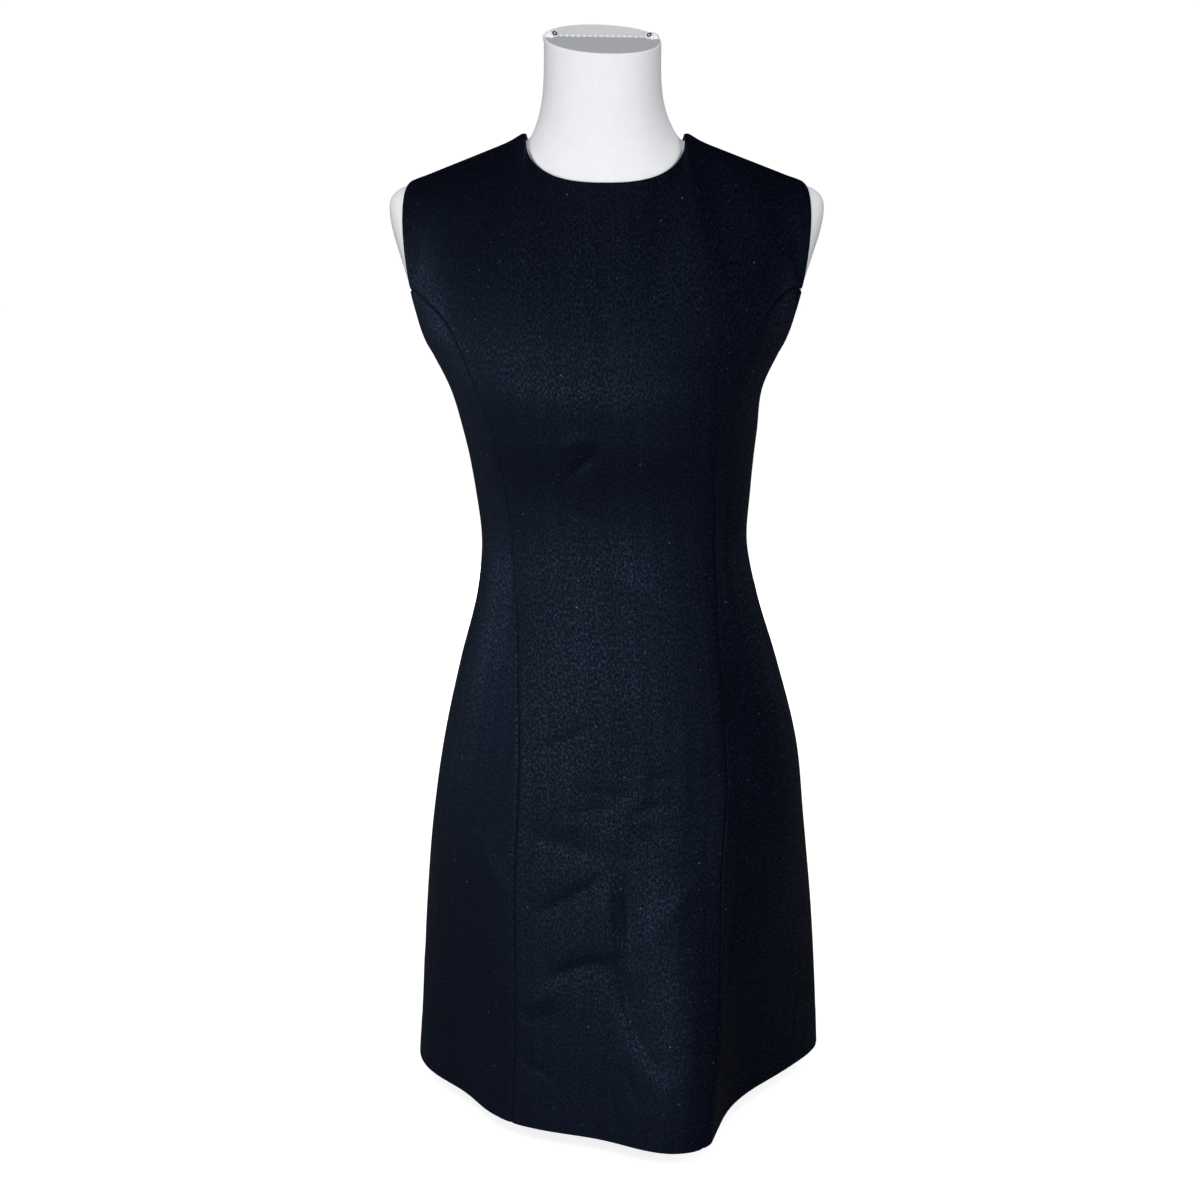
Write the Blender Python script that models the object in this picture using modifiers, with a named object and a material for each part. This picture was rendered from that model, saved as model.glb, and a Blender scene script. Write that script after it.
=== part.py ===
"""A sleeveless sheath dress with front princess seams, worn by a limbless dress form.

Metres, +Z up. The front faces -Y and the wearer's left side lies at +X. The origin is
the centre of the base plate's underside, on the surface that the form stands on.
"""
from collections import namedtuple
from math import cos, pi, radians, sin

import bmesh
import bpy
import numpy as np
from mathutils import Matrix, Vector

# ---- driving sizes -------------------------------------------------------------------
HEM_HEIGHT = 0.020            # hem above the surface that the form stands on
UNDERARM_HEIGHT = 0.775       # lowest point of both armholes
CLOTH = 0.002                 # lined coat-weight wool, turned edges and all
SEAM_GAP = 0.0003             # between neighbouring pieces
NORMAL_STEP = 0.002           # half step, in share or level, for a surface normal

# The dress is a stack of horizontal sections up to the underarm. Each has its middle line at
# centre, and its widest points at side; square is 2 for an ellipse and more for a boxier curve.
Section = namedtuple("Section", "height half_width centre front back side front_square back_square")
SECTIONS = (
    Section(0.020, 0.2195, 0.0090, -0.149, 0.165, 0.032, 2.0, 2.1),      # hem
    Section(0.100, 0.2135, 0.0098, -0.146, 0.160, 0.027, 2.0, 2.1),
    Section(0.200, 0.2050, 0.0095, -0.139, 0.151, 0.019, 2.1, 2.2),      # knee
    Section(0.300, 0.1930, 0.0084, -0.131, 0.140, 0.011, 2.2, 2.2),
    Section(0.390, 0.1785, 0.0085, -0.124, 0.127, 0.004, 2.2, 2.2),      # hip
    Section(0.470, 0.1585, 0.0067, -0.116, 0.111, 0.000, 2.2, 2.2),
    Section(0.540, 0.1385, 0.0048, -0.104, 0.088, -0.004, 2.2, 2.1),
    Section(0.590, 0.1305, 0.0022, -0.097, 0.074, -0.006, 2.2, 2.1),     # waist
    Section(0.640, 0.1340, 0.0008, -0.103, 0.076, -0.005, 2.3, 2.2),
    Section(0.700, 0.1420, -0.0022, -0.124, 0.086, -0.003, 2.5, 2.4),
    Section(0.745, 0.1510, -0.0062, -0.134, 0.092, -0.002, 2.6, 2.5),    # bust
    Section(0.775, 0.1660, -0.0068, -0.131, 0.094, -0.002, 2.5, 2.5),    # underarm
)

# Folds of the hanging skirt. Place is in quarter turns from the middle of the front, and goes
# to +1 at the +X side, 2 at the middle of the back. Depth is at the hem, out of the skirt.
Fold = namedtuple("Fold", "place width depth top")
FOLDS = (
    Fold(-0.64, 0.180, -0.018, 0.38),      # hollow beside the -X front seam
    Fold(0.16, 0.165, 0.035, 0.38),        # swell that ends in the ridge of the +X front
    Fold(0.64, 0.340, -0.040, 0.40),       # broad hollow past that ridge
    Fold(1.00, 0.110, 0.010, 0.34),        # swell down the +X side seam
    Fold(1.44, 0.150, -0.012, 0.34),
    Fold(1.78, 0.130, 0.009, 0.36),
    Fold(2.18, 0.140, -0.011, 0.34),
    Fold(2.55, 0.150, 0.010, 0.36),
    Fold(-1.12, 0.120, -0.006, 0.30),
)

# The princess seams, as shares of the front's half width: 0 is the middle of the front and 1 a
# side seam or armhole. Level is 0 at the hem, 1 at the underarm and 2 at the shoulder.
SeamRow = namedtuple("SeamRow", "level minus_x plus_x")
PRINCESS_SEAMS = (
    SeamRow(0.00, -0.385, 0.230),
    SeamRow(0.12, -0.382, 0.280),
    SeamRow(0.25, -0.376, 0.333),
    SeamRow(0.35, -0.380, 0.362),
    SeamRow(0.45, -0.392, 0.401),
    SeamRow(0.55, -0.422, 0.425),
    SeamRow(0.65, -0.480, 0.454),
    SeamRow(0.75, -0.562, 0.517),
    SeamRow(0.81, -0.556, 0.504),
    SeamRow(0.86, -0.536, 0.465),
    SeamRow(0.91, -0.517, 0.458),
    SeamRow(0.95, -0.534, 0.494),
    SeamRow(1.00, -0.564, 0.560),
    SeamRow(1.11, -0.603, 0.592),
    SeamRow(1.19, -0.674, 0.648),
    SeamRow(1.25, -0.760, 0.712),
    SeamRow(1.31, -0.860, 0.800),
    SeamRow(1.40, -1.000, 1.000),
)
SEAM_TOP_LEVEL = 1.40         # where the princess seams run into the armholes

# Neckline and shoulders
NECK_POINT = Vector((-0.0070, 0.004, 0.9745))     # middle line, depth and height of its ends
NECK_HALF_WIDTH = 0.0745
NECK_SQUARE = 2.5
NECK_SHARE = 0.46             # where the neckline ends on the top edge, as a share of its half
FRONT_NECK_DROP = 0.047
FRONT_NECK_REACH = 0.072
BACK_NECK_DROP = 0.014
BACK_NECK_REACH = 0.058
SHOULDER_TIP = Vector((-0.0055, 0.006, 0.932))
SHOULDER_HALF_WIDTH = 0.187

# Directions and strengths with which the bodice leaves the underarm and meets its top edge,
# for its +X front; x is mirrored for the -X side and y for the back.
ARMHOLE_START = Vector((0.045, -0.170, 0.055))
ARMHOLE_END = Vector((-0.030, 0.200, 0.050))
SHOULDER_END = Vector((0.0, 0.200, 0.040))
FRONT_NECK_POINT_END = Vector((0.0, 0.180, 0.110))
BACK_NECK_POINT_END = Vector((0.0, 0.195, 0.055))
NECKLINE_END = Vector((0.0, 0.080, 0.150))

# How far the form stays inside the cloth's inner face
Ease = namedtuple("Ease", "level room")
FORM_EASE = (
    Ease(0.37, 0.0200),
    Ease(0.45, 0.0080),
    Ease(0.55, 0.0035),
    Ease(0.75, 0.0040),
    Ease(0.90, 0.0020),
    Ease(1.00, 0.0010),
    Ease(1.08, 0.0020),
    Ease(1.30, 0.0020),
    Ease(1.45, 0.0009),
    Ease(1.60, 0.0008),
    Ease(2.00, 0.0009),
)
FORM_BOTTOM_LEVEL = 0.37
FORM_BOTTOM_HEIGHT = HEM_HEIGHT + FORM_BOTTOM_LEVEL * (UNDERARM_HEIGHT - HEM_HEIGHT)
ARM_CAP_REACH = 0.0175        # how far an arm cap swells out of its armhole
ARM_CAP_CREST = 0.80          # share of the armhole's height at which it swells most
NECK_RADIUS = 0.0555
NECK_CENTRE = Vector((-0.0097, 0.0, 1.0565))
NECK_TILT = 0.338             # rise towards the back of the slanted neck top
NECK_LEAN = -0.042            # and its slight fall towards +X
NECK_CAP_THICKNESS = 0.004

POLE_RADIUS = 0.0125
FLANGE_RADIUS = 0.040
FLANGE_THICKNESS = 0.004
BASE_RADIUS = 0.105
BASE_THICKNESS = 0.010
BASE_BEVEL = 0.0015

# Zip end: a slider below the neckline at the back, with a teardrop pull
SLIDER_LEVEL = 1.925
SLIDER_SIZE = Vector((0.0050, 0.0018, 0.0084))    # across, out of the cloth, along the zip
BRIDGE_WIDTH = 0.0014
BRIDGE_REACH = 0.0050         # from the cloth to the bridge's outer face
BRIDGE_LENGTH = 0.0068
BRIDGE_BAR = 0.0011           # thickness of the bridge's outer run and legs
PULL_LENGTH = 0.0220
PULL_TOP_WIDTH = 0.0042
PULL_END_WIDTH = 0.0072
PULL_THICKNESS = 0.0010
PULL_BAR = 0.0011             # height of the pull's top bar, which turns in the bridge
PULL_SLOT_WIDTH = 0.0024
PULL_SLOT_END = 0.0066        # lowest point of the slot, below the hinge axis

# Rows and columns of the panels
RowSpan = namedtuple("RowSpan", "start end steps")
ROW_SPANS = (
    RowSpan(0.00, 0.50, 9),
    RowSpan(0.50, 1.00, 13),
    RowSpan(1.00, 1.30, 5),
    RowSpan(1.30, 1.385, 2),
    RowSpan(1.385, SEAM_TOP_LEVEL, 1),
    RowSpan(SEAM_TOP_LEVEL, 1.82, 6),
    RowSpan(1.82, 2.00, 5),
)
SHOULDER_COLUMNS = 5
NECK_COLUMNS = 10             # over the whole front neckline, and so over the back's
SIDE_PANEL_COLUMNS = 7
ARM_CAP_COLUMNS = 8
NECK_ROWS = 6
ROUND_STEPS = 48


# ---- scene ---------------------------------------------------------------------------
for old in list(bpy.data.objects):
    bpy.data.objects.remove(old, do_unlink=True)

parts = bpy.data.collections.new("sheath_dress_on_form")
bpy.context.scene.collection.children.link(parts)


def material(name, colour, roughness, metallic=0.0):
    made = bpy.data.materials.new(name)
    made.use_nodes = True
    made.diffuse_color = (*colour, 1.0)
    shader = made.node_tree.nodes["Principled BSDF"]
    shader.inputs["Base Color"].default_value = (*colour, 1.0)
    shader.inputs["Roughness"].default_value = roughness
    shader.inputs["Metallic"].default_value = metallic
    return made


WOOL = material("navy_black_herringbone_wool", (0.010, 0.012, 0.022), 0.85)
JERSEY = material("white_form_jersey", (0.85, 0.85, 0.87), 0.75)
CAP_CLOTH = material("grey_neck_cap_cloth", (0.42, 0.43, 0.45), 0.8)
STEEL = material("painted_steel", (0.80, 0.80, 0.80), 0.4, 0.0)
ZIP_METAL = material("dark_zip_metal", (0.045, 0.047, 0.055), 0.35, 1.0)


def move_to(collection, made):
    for old_home in list(made.users_collection):
        old_home.objects.unlink(made)
    collection.objects.link(made)


def add_object(name, mesh, finish, smooth=True):
    made = bpy.data.objects.new(name, mesh)
    mesh.materials.append(finish)
    if smooth:
        mesh.shade_smooth()
        mesh.set_sharp_from_angle(angle=radians(40))
    parts.objects.link(made)
    return made


# ---- the dress's outer face ------------------------------------------------------------
FRONT, BACK = -1, 1
FINE_STEPS = 240


def column(rows, name):
    return np.array([getattr(row, name) for row in rows])


def curve_through(rows, key, name, at):
    """Smooth curve through one column of a table, read at values of its key column."""
    keys, values = column(rows, key), column(rows, name)
    gaps = np.diff(keys)
    rises = np.diff(values) / gaps
    slopes = np.concatenate(
        ([rises[0]], (rises[:-1] * gaps[1:] + rises[1:] * gaps[:-1]) / (gaps[:-1] + gaps[1:]), [rises[-1]]))
    cell = np.clip(np.searchsorted(keys, at, side="right") - 1, 0, len(gaps) - 1)
    t = np.clip((at - keys[cell]) / gaps[cell], 0, 1)
    return ((1 + 2 * t) * (1 - t) ** 2 * values[cell] + t * (1 - t) ** 2 * gaps[cell] * slopes[cell]
            + t * t * (3 - 2 * t) * values[cell + 1] + t * t * (t - 1) * gaps[cell] * slopes[cell + 1])


def ease_in(t):
    t = np.clip(t, 0, 1)
    return t * t * (3 - 2 * t)


def fold_depth(place, height):
    """How far the folds carry the skirt out at a place round it, in quarter turns."""
    total = np.zeros_like(place)
    for fold in FOLDS:
        away = (place - fold.place + 2) % 4 - 2
        grown = ease_in((fold.top - height) / (fold.top - HEM_HEIGHT))
        total += fold.depth * grown * np.exp(-(away / fold.width) ** 2)
    return total


def shares_of(x, y):
    """Length along a curve of points, as shares from -1 at its first point to +1 at its last."""
    run = np.concatenate(([0.0], np.cumsum(np.hypot(np.diff(x), np.diff(y)))))
    return 2 * run / run[-1] - 1


def half_section(face, shares, height, folded=True):
    """Points of the front or back half of the section at a height."""
    size = Section(*(curve_through(SECTIONS, "height", name, height) for name in Section._fields))
    square = size.front_square if face == FRONT else size.back_square
    reach = size.front if face == FRONT else size.back
    angle = np.linspace(-pi / 2, pi / 2, FINE_STEPS + 1)
    x = size.half_width * np.sign(angle) * np.abs(np.sin(angle)) ** (2 / square)
    y = size.side + (reach - size.side) * np.abs(np.cos(angle)) ** (2 / square)
    if folded:
        share = shares_of(x, y)
        place = share if face == FRONT else np.where(share > 0, 2 - share, -2 - share)
        swell = 1 + fold_depth(place, height) / np.hypot(x, y)
        x, y = x * swell, y * swell
    along = shares_of(x, y)
    points = (size.centre + np.interp(shares, along, x), np.interp(shares, along, y),
              np.full(len(shares), float(height)))
    return np.stack(points, axis=-1)


def top_edge(face, shares):
    """The neckline and the two shoulder seams."""
    amount, side = np.abs(shares), np.sign(shares)
    turn = np.clip(amount / NECK_SHARE, 0, 1) * pi / 2
    drop = FRONT_NECK_DROP if face == FRONT else BACK_NECK_DROP
    reach = face * (FRONT_NECK_REACH if face == FRONT else BACK_NECK_REACH)
    along = np.clip((amount - NECK_SHARE) / (1 - NECK_SHARE), 0, 1)
    half = (NECK_HALF_WIDTH * np.sin(turn) ** (2 / NECK_SQUARE)
            + (SHOULDER_HALF_WIDTH - NECK_HALF_WIDTH) * along)
    down = np.abs(np.cos(turn)) ** (2 / NECK_SQUARE)
    x = NECK_POINT.x + (SHOULDER_TIP.x - NECK_POINT.x) * along + side * half
    y = NECK_POINT.y + (SHOULDER_TIP.y - NECK_POINT.y) * along + reach * down
    z = NECK_POINT.z + (SHOULDER_TIP.z - NECK_POINT.z) * along - drop * down
    return np.stack((x, y, z), axis=-1)


def directions(face, side, vector):
    """One direction for every column, mirrored to its side and face."""
    return np.stack((side * vector.x, np.full(len(side), -face * vector.y),
                     np.full(len(side), vector.z)), axis=-1)


def bodice(face, shares, rise, folded=True):
    """Points between the underarm section (rise 0) and the top edge (rise 1)."""
    step = 0.012
    low = half_section(face, shares, UNDERARM_HEIGHT, folded)
    slope = (low - half_section(face, shares, UNDERARM_HEIGHT - step, folded)) / step
    high = top_edge(face, shares)
    length = np.linalg.norm(high - low, axis=-1)[:, None]
    amount, side = np.abs(shares), np.sign(shares)
    at_arm = (amount ** 5)[:, None]
    leave = slope * length * (1 - at_arm) + directions(face, side, ARMHOLE_START) * at_arm
    arrive = directions(face, side, NECKLINE_END)
    neck_point_end = FRONT_NECK_POINT_END if face == FRONT else BACK_NECK_POINT_END
    for vector, weight in ((neck_point_end, ease_in((amount / NECK_SHARE - 0.35) / 0.65)),
                           (SHOULDER_END, ease_in((amount - NECK_SHARE) / 0.3)),
                           (ARMHOLE_END, np.clip((amount - 0.75) / 0.25, 0, 1) ** 2)):
        arrive = arrive * (1 - weight[:, None]) + directions(face, side, vector) * weight[:, None]
    t = rise
    return ((1 + 2 * t) * (1 - t) ** 2 * low + t * (1 - t) ** 2 * leave
            + t * t * (3 - 2 * t) * high + t * t * (t - 1) * arrive)


def outer_row(face, shares, level, folded=True):
    if level <= 1:
        return half_section(face, shares, HEM_HEIGHT + (UNDERARM_HEIGHT - HEM_HEIGHT) * level, folded)
    return bodice(face, shares, level - 1, folded)


def outward(face, shares, level, folded=True):
    """Unit normals of the outer face along a row."""
    high, low = np.minimum(shares + NORMAL_STEP, 1), np.maximum(shares - NORMAL_STEP, -1)
    if level > 1.5:                 # a corner of the neckline takes its shoulder's normal
        high = np.where(np.abs(shares + NECK_SHARE) < 0.005, -NECK_SHARE, high)
        low = np.where(np.abs(shares - NECK_SHARE) < 0.005, NECK_SHARE, low)
    right = outer_row(face, high, level, folded)
    left = outer_row(face, low, level, folded)
    above = outer_row(face, shares, min(level + NORMAL_STEP, 2), folded)
    below = outer_row(face, shares, max(level - NORMAL_STEP, 0), folded)
    normal = np.cross(right - left, above - below) * -face
    if level > 2 - NORMAL_STEP:                       # mitred along the shoulder seams
        normal[np.abs(shares) > NECK_SHARE - 0.005, 1] = 0
    return normal / np.linalg.norm(normal, axis=-1)[:, None]


# ---- panels --------------------------------------------------------------------------
def row_levels(top=2.0):
    levels = [ROW_SPANS[0].start]
    for span in ROW_SPANS:
        steps = range(1, span.steps + 1)
        levels += [span.start + (span.end - span.start) * k / span.steps for k in steps]
    return [level for level in levels if level <= top + 1e-6]


def shared_columns():
    """Shares from armhole to armhole, with a column at each end of the neckline."""
    shoulder = np.linspace(-1, -NECK_SHARE, SHOULDER_COLUMNS + 1)[:-1]
    neck = np.linspace(-NECK_SHARE, NECK_SHARE, NECK_COLUMNS + 1)
    return np.concatenate((shoulder, neck, -shoulder[::-1]))


def closed_grid(name, outer, inner, finish):
    """A wall between two grids of points that correspond, closed along its four edges."""
    rows, cols = outer.shape[:2]
    mesh = bmesh.new()
    outer_verts = [[mesh.verts.new(point) for point in row] for row in outer]
    inner_verts = [[mesh.verts.new(point) for point in row] for row in inner]
    for r in range(rows - 1):
        for c in range(cols - 1):
            for sheet in (outer_verts, inner_verts):
                mesh.faces.new((sheet[r][c], sheet[r][c + 1], sheet[r + 1][c + 1], sheet[r + 1][c]))
    rim = [(r, 0) for r in range(rows)] + [(rows - 1, c) for c in range(1, cols)]
    rim += [(r, cols - 1) for r in range(rows - 2, -1, -1)] + [(0, c) for c in range(cols - 2, 0, -1)]
    for (r, c), (next_r, next_c) in zip(rim, rim[1:] + rim[:1]):
        mesh.faces.new((outer_verts[r][c], outer_verts[next_r][next_c],
                        inner_verts[next_r][next_c], inner_verts[r][c]))
    bmesh.ops.recalc_face_normals(mesh, faces=mesh.faces)
    data = bpy.data.meshes.new(name)
    mesh.to_mesh(data)
    mesh.free()
    return add_object(name, data, finish)


def panel(name, face, edges, top=2.0):
    """A cut piece of the dress. Edges gives a row's column shares at a level."""
    outer, inner = [], []
    for level in row_levels(top):
        if level == 2.0:
            level -= SEAM_GAP / 2 / SHOULDER_END.y      # half of the shoulder seam's gap
        shares = edges(level)
        width = np.linalg.norm(np.diff(outer_row(face, shares, level), axis=0), axis=-1).sum()
        inset = (shares[-1] - shares[0]) * SEAM_GAP / 2 / width
        shares = shares[0] + inset + (shares - shares[0]) * (1 - 2 * inset / (shares[-1] - shares[0]))
        points = outer_row(face, shares, level)
        outer.append(points)
        inner.append(points - CLOTH * outward(face, shares, level))
    return closed_grid(name, np.array(outer), np.array(inner), WOOL)


def seam_share(level, side):
    name = "plus_x" if side > 0 else "minus_x"
    share = curve_through(PRINCESS_SEAMS, "level", name, min(level, SEAM_TOP_LEVEL))
    return float(np.clip(share, -1, 1))


def centre_front_shares(level):
    low, high = seam_share(level, -1), seam_share(level, 1)
    return low + (shared_columns() + 1) / 2 * (high - low)


def side_front_shares(side):
    def shares(level):
        ends = sorted((seam_share(level, side), float(side)))
        return np.linspace(ends[0], ends[1], SIDE_PANEL_COLUMNS + 1)
    return shares


def half_back_shares(side):
    columns = shared_columns()
    kept = columns[columns * side > -1e-9]
    return lambda level: kept


SIDE_PANEL_TOP = 1.385
panel("front_centre", FRONT, centre_front_shares)
panel("front_side_minus_x", FRONT, side_front_shares(-1), SIDE_PANEL_TOP)
panel("front_side_plus_x", FRONT, side_front_shares(1), SIDE_PANEL_TOP)
panel("back_minus_x", BACK, half_back_shares(-1))
panel("back_plus_x", BACK, half_back_shares(1))


# ---- dress form ------------------------------------------------------------------------
def form_row(face, shares, level):
    """A row of the form's skin, inside the cloth and without the skirt's folds."""
    inset = CLOTH + curve_through(FORM_EASE, "level", "room", level)
    points = outer_row(face, shares, level, folded=False)
    return points - inset * outward(face, shares, level, folded=False)


def arm_cap_row(front_point, back_point, side, rise):
    """Points round an arm cap from its front edge to its back edge."""
    if rise < ARM_CAP_CREST:
        swell = sin(pi / 2 * rise / ARM_CAP_CREST) ** 5
    else:
        swell = cos(pi / 2 * (rise - ARM_CAP_CREST) / (1 - ARM_CAP_CREST)) ** 0.8
    share = np.linspace(0, 1, ARM_CAP_COLUMNS + 1)[:, None]
    points = front_point * (1 - share) + back_point * share
    return points + np.array((side * ARM_CAP_REACH * swell, 0, 0)) * np.sin(pi * share) ** 0.65


def neck_top_height(x, y):
    return NECK_CENTRE.z + NECK_TILT * (y - NECK_CENTRE.y) + NECK_LEAN * (x - NECK_CENTRE.x)


def neck_rows(base):
    """Rings from the loop of neckline points up to the slanted top of the neck."""
    middle = np.array((NECK_CENTRE.x, NECK_CENTRE.y))
    away = base[:, :2] - middle
    angle = np.arctan2(away[:, 1], away[:, 0])
    x = middle[0] + NECK_RADIUS * np.cos(angle)
    y = middle[1] + NECK_RADIUS * np.sin(angle)
    top = np.stack((x, y, neck_top_height(x, y)), axis=-1)
    inwards = np.stack((-np.cos(angle), -np.sin(angle), np.zeros(len(angle))), axis=-1)
    height = (top[:, 2] - base[:, 2])[:, None]
    reach = np.linalg.norm(away, axis=-1)[:, None] - NECK_RADIUS
    leave = inwards * reach * 3.5 + np.array((0, 0, 0.9)) * height
    arrive = np.array((0, 0, 1.0)) * height
    rows = []
    for k in range(1, NECK_ROWS + 1):
        t = (k / NECK_ROWS) ** 1.4
        rows.append((1 + 2 * t) * (1 - t) ** 2 * base + t * (1 - t) ** 2 * leave
                    + t * t * (3 - 2 * t) * top + t * t * (t - 1) * arrive)
    return rows


def add_grid(mesh, rows, closed=False):
    verts = [[mesh.verts.new(point) for point in row] for row in rows]
    for lower, upper in zip(verts, verts[1:]):
        for c in range(len(lower) if closed else len(lower) - 1):
            d = (c + 1) % len(lower)
            mesh.faces.new((lower[c], lower[d], upper[d], upper[c]))
    return verts


def add_form():
    """Torso, arm caps and neck in one skin."""
    mesh = bmesh.new()
    columns = shared_columns()
    levels = [FORM_BOTTOM_LEVEL] + [level for level in row_levels() if level > FORM_BOTTOM_LEVEL + 0.03]
    fronts = [form_row(FRONT, columns, level) for level in levels]
    backs = [form_row(BACK, columns, level) for level in levels]
    for front, back, level in zip(fronts, backs, levels):
        if level <= 1 or level == 2:              # the halves meet at the side seams and shoulders
            ends = (0, -1) if level < 2 else np.flatnonzero(np.abs(columns) > NECK_SHARE - 1e-6)
            for k in ends:
                front[k] = back[k] = (front[k] + back[k]) / 2
    fronts[0][:, 2] = backs[0][:, 2] = FORM_BOTTOM_HEIGHT
    add_grid(mesh, fronts)
    add_grid(mesh, backs)
    for side, edge in ((-1, 0), (1, -1)):
        add_grid(mesh, [arm_cap_row(front[edge], back[edge], side, level - 1)
                        for front, back, level in zip(fronts, backs, levels) if level >= 1])
    neck = np.abs(columns) < NECK_SHARE + 1e-6
    base = np.concatenate((fronts[-1][neck], backs[-1][neck][-2:0:-1]))
    rings = add_grid(mesh, [base] + neck_rows(base), closed=True)
    mesh.faces.new(rings[-1])
    bottom = np.concatenate((fronts[0], backs[0][-2:0:-1]))
    mesh.faces.new([mesh.verts.new(point) for point in bottom])
    bmesh.ops.remove_doubles(mesh, verts=mesh.verts, dist=0.0001)
    bmesh.ops.dissolve_degenerate(mesh, edges=mesh.edges, dist=0.00005)
    bmesh.ops.recalc_face_normals(mesh, faces=mesh.faces)
    data = bpy.data.meshes.new("form_torso")
    mesh.to_mesh(data)
    mesh.free()
    add_object("form_torso", data, JERSEY)


def add_neck_cap():
    """A slanted disc on the neck's flat top."""
    bpy.ops.mesh.primitive_cylinder_add(vertices=ROUND_STEPS, radius=NECK_RADIUS - 0.0005,
                                        depth=NECK_CAP_THICKNESS)
    cap = bpy.context.object
    cap.name = cap.data.name = "form_neck_cap"
    for vert in cap.data.vertices:
        x, y = NECK_CENTRE.x + vert.co.x, NECK_CENTRE.y + vert.co.y
        lift = SEAM_GAP + vert.co.z + NECK_CAP_THICKNESS / 2
        vert.co = (x, y, neck_top_height(x, y) + lift)
    bevel = cap.modifiers.new("rounded_edge", "BEVEL")
    bevel.width = 0.0014
    bevel.segments = 2
    bevel.limit_method = "ANGLE"
    cap.data.materials.append(CAP_CLOTH)
    cap.data.shade_smooth()
    move_to(parts, cap)


def turned(name, profile, finish):
    """A solid turned about Z from its outer profile, listed from top to bottom."""
    data = bpy.data.meshes.new(name)
    data.from_pydata([(radius, 0, height) for radius, height in profile],
                     [(k, k + 1) for k in range(len(profile) - 1)], [])
    made = add_object(name, data, finish, smooth=False)
    screw = made.modifiers.new("turn", "SCREW")
    screw.steps = screw.render_steps = ROUND_STEPS
    screw.use_merge_vertices = True
    screw.merge_threshold = 0.00001
    screw.use_smooth_shade = False
    return made


def add_stand():
    """A round plate, and a pole with a flange at each end, both hidden by the skirt."""
    turned("base_plate", ((0, BASE_THICKNESS), (BASE_RADIUS - BASE_BEVEL, BASE_THICKNESS),
                          (BASE_RADIUS, BASE_THICKNESS - BASE_BEVEL), (BASE_RADIUS, BASE_BEVEL),
                          (BASE_RADIUS - BASE_BEVEL, 0), (0, 0)), STEEL)
    foot = BASE_THICKNESS + SEAM_GAP
    head = FORM_BOTTOM_HEIGHT - SEAM_GAP
    turned("stand_pole", ((0, head), (FLANGE_RADIUS, head), (FLANGE_RADIUS, head - FLANGE_THICKNESS),
                          (POLE_RADIUS, head - FLANGE_THICKNESS), (POLE_RADIUS, foot + FLANGE_THICKNESS),
                          (FLANGE_RADIUS, foot + FLANGE_THICKNESS), (FLANGE_RADIUS, foot), (0, foot)),
           STEEL)


# ---- zip end ---------------------------------------------------------------------------
def zip_frame():
    """Place of the slider: X across, Y out of the cloth, Z up along the centre back seam."""
    middle = np.array((0.0,))
    point = Vector(outer_row(BACK, middle, SLIDER_LEVEL)[0])
    out = Vector(outward(BACK, middle, SLIDER_LEVEL)[0])
    across = Vector((1, 0, 0))
    up = across.cross(out).normalized()
    out = up.cross(across)
    return Matrix.Translation(point) @ Matrix((across, out, up)).transposed().to_4x4()


def box(low, high, name):
    bpy.ops.mesh.primitive_cube_add(size=1)
    made = bpy.context.object
    made.name = made.data.name = name
    for vert in made.data.vertices:
        share = vert.co + Vector((0.5, 0.5, 0.5))
        vert.co = [a + (b - a) * s for a, b, s in zip(low, high, share)]
    return made


def boolean(target, cutter, operation):
    cut = target.modifiers.new(operation.lower(), "BOOLEAN")
    cut.operation = operation
    cut.object = cutter
    cutter.hide_render = True
    cutter.display_type = "WIRE"
    move_to(cutters, cutter)


cutters = bpy.data.collections.new("cutters")
bpy.context.scene.collection.children.link(cutters)


def add_slider(frame):
    across, out, along = SLIDER_SIZE / 2
    seat = SEAM_GAP
    face = seat + SLIDER_SIZE.y
    body = box((-across, seat, -along), (across, face, along), "zip_slider")
    move_to(parts, body)
    bevel = body.modifiers.new("rounded", "BEVEL")
    bevel.width = 0.0006
    bevel.segments = 1
    half, length = BRIDGE_WIDTH / 2, BRIDGE_LENGTH / 2
    bridge = box((-half, seat + out, -length), (half, BRIDGE_REACH, length), "bridge")
    window = box((-half * 2, face, BRIDGE_BAR - length),
                 (half * 2, BRIDGE_REACH - BRIDGE_BAR, length - BRIDGE_BAR), "bridge_window")
    boolean(body, bridge, "UNION")
    boolean(body, window, "DIFFERENCE")
    body.data.materials.append(ZIP_METAL)
    for piece in (body, bridge, window):
        piece.matrix_world = frame


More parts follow.
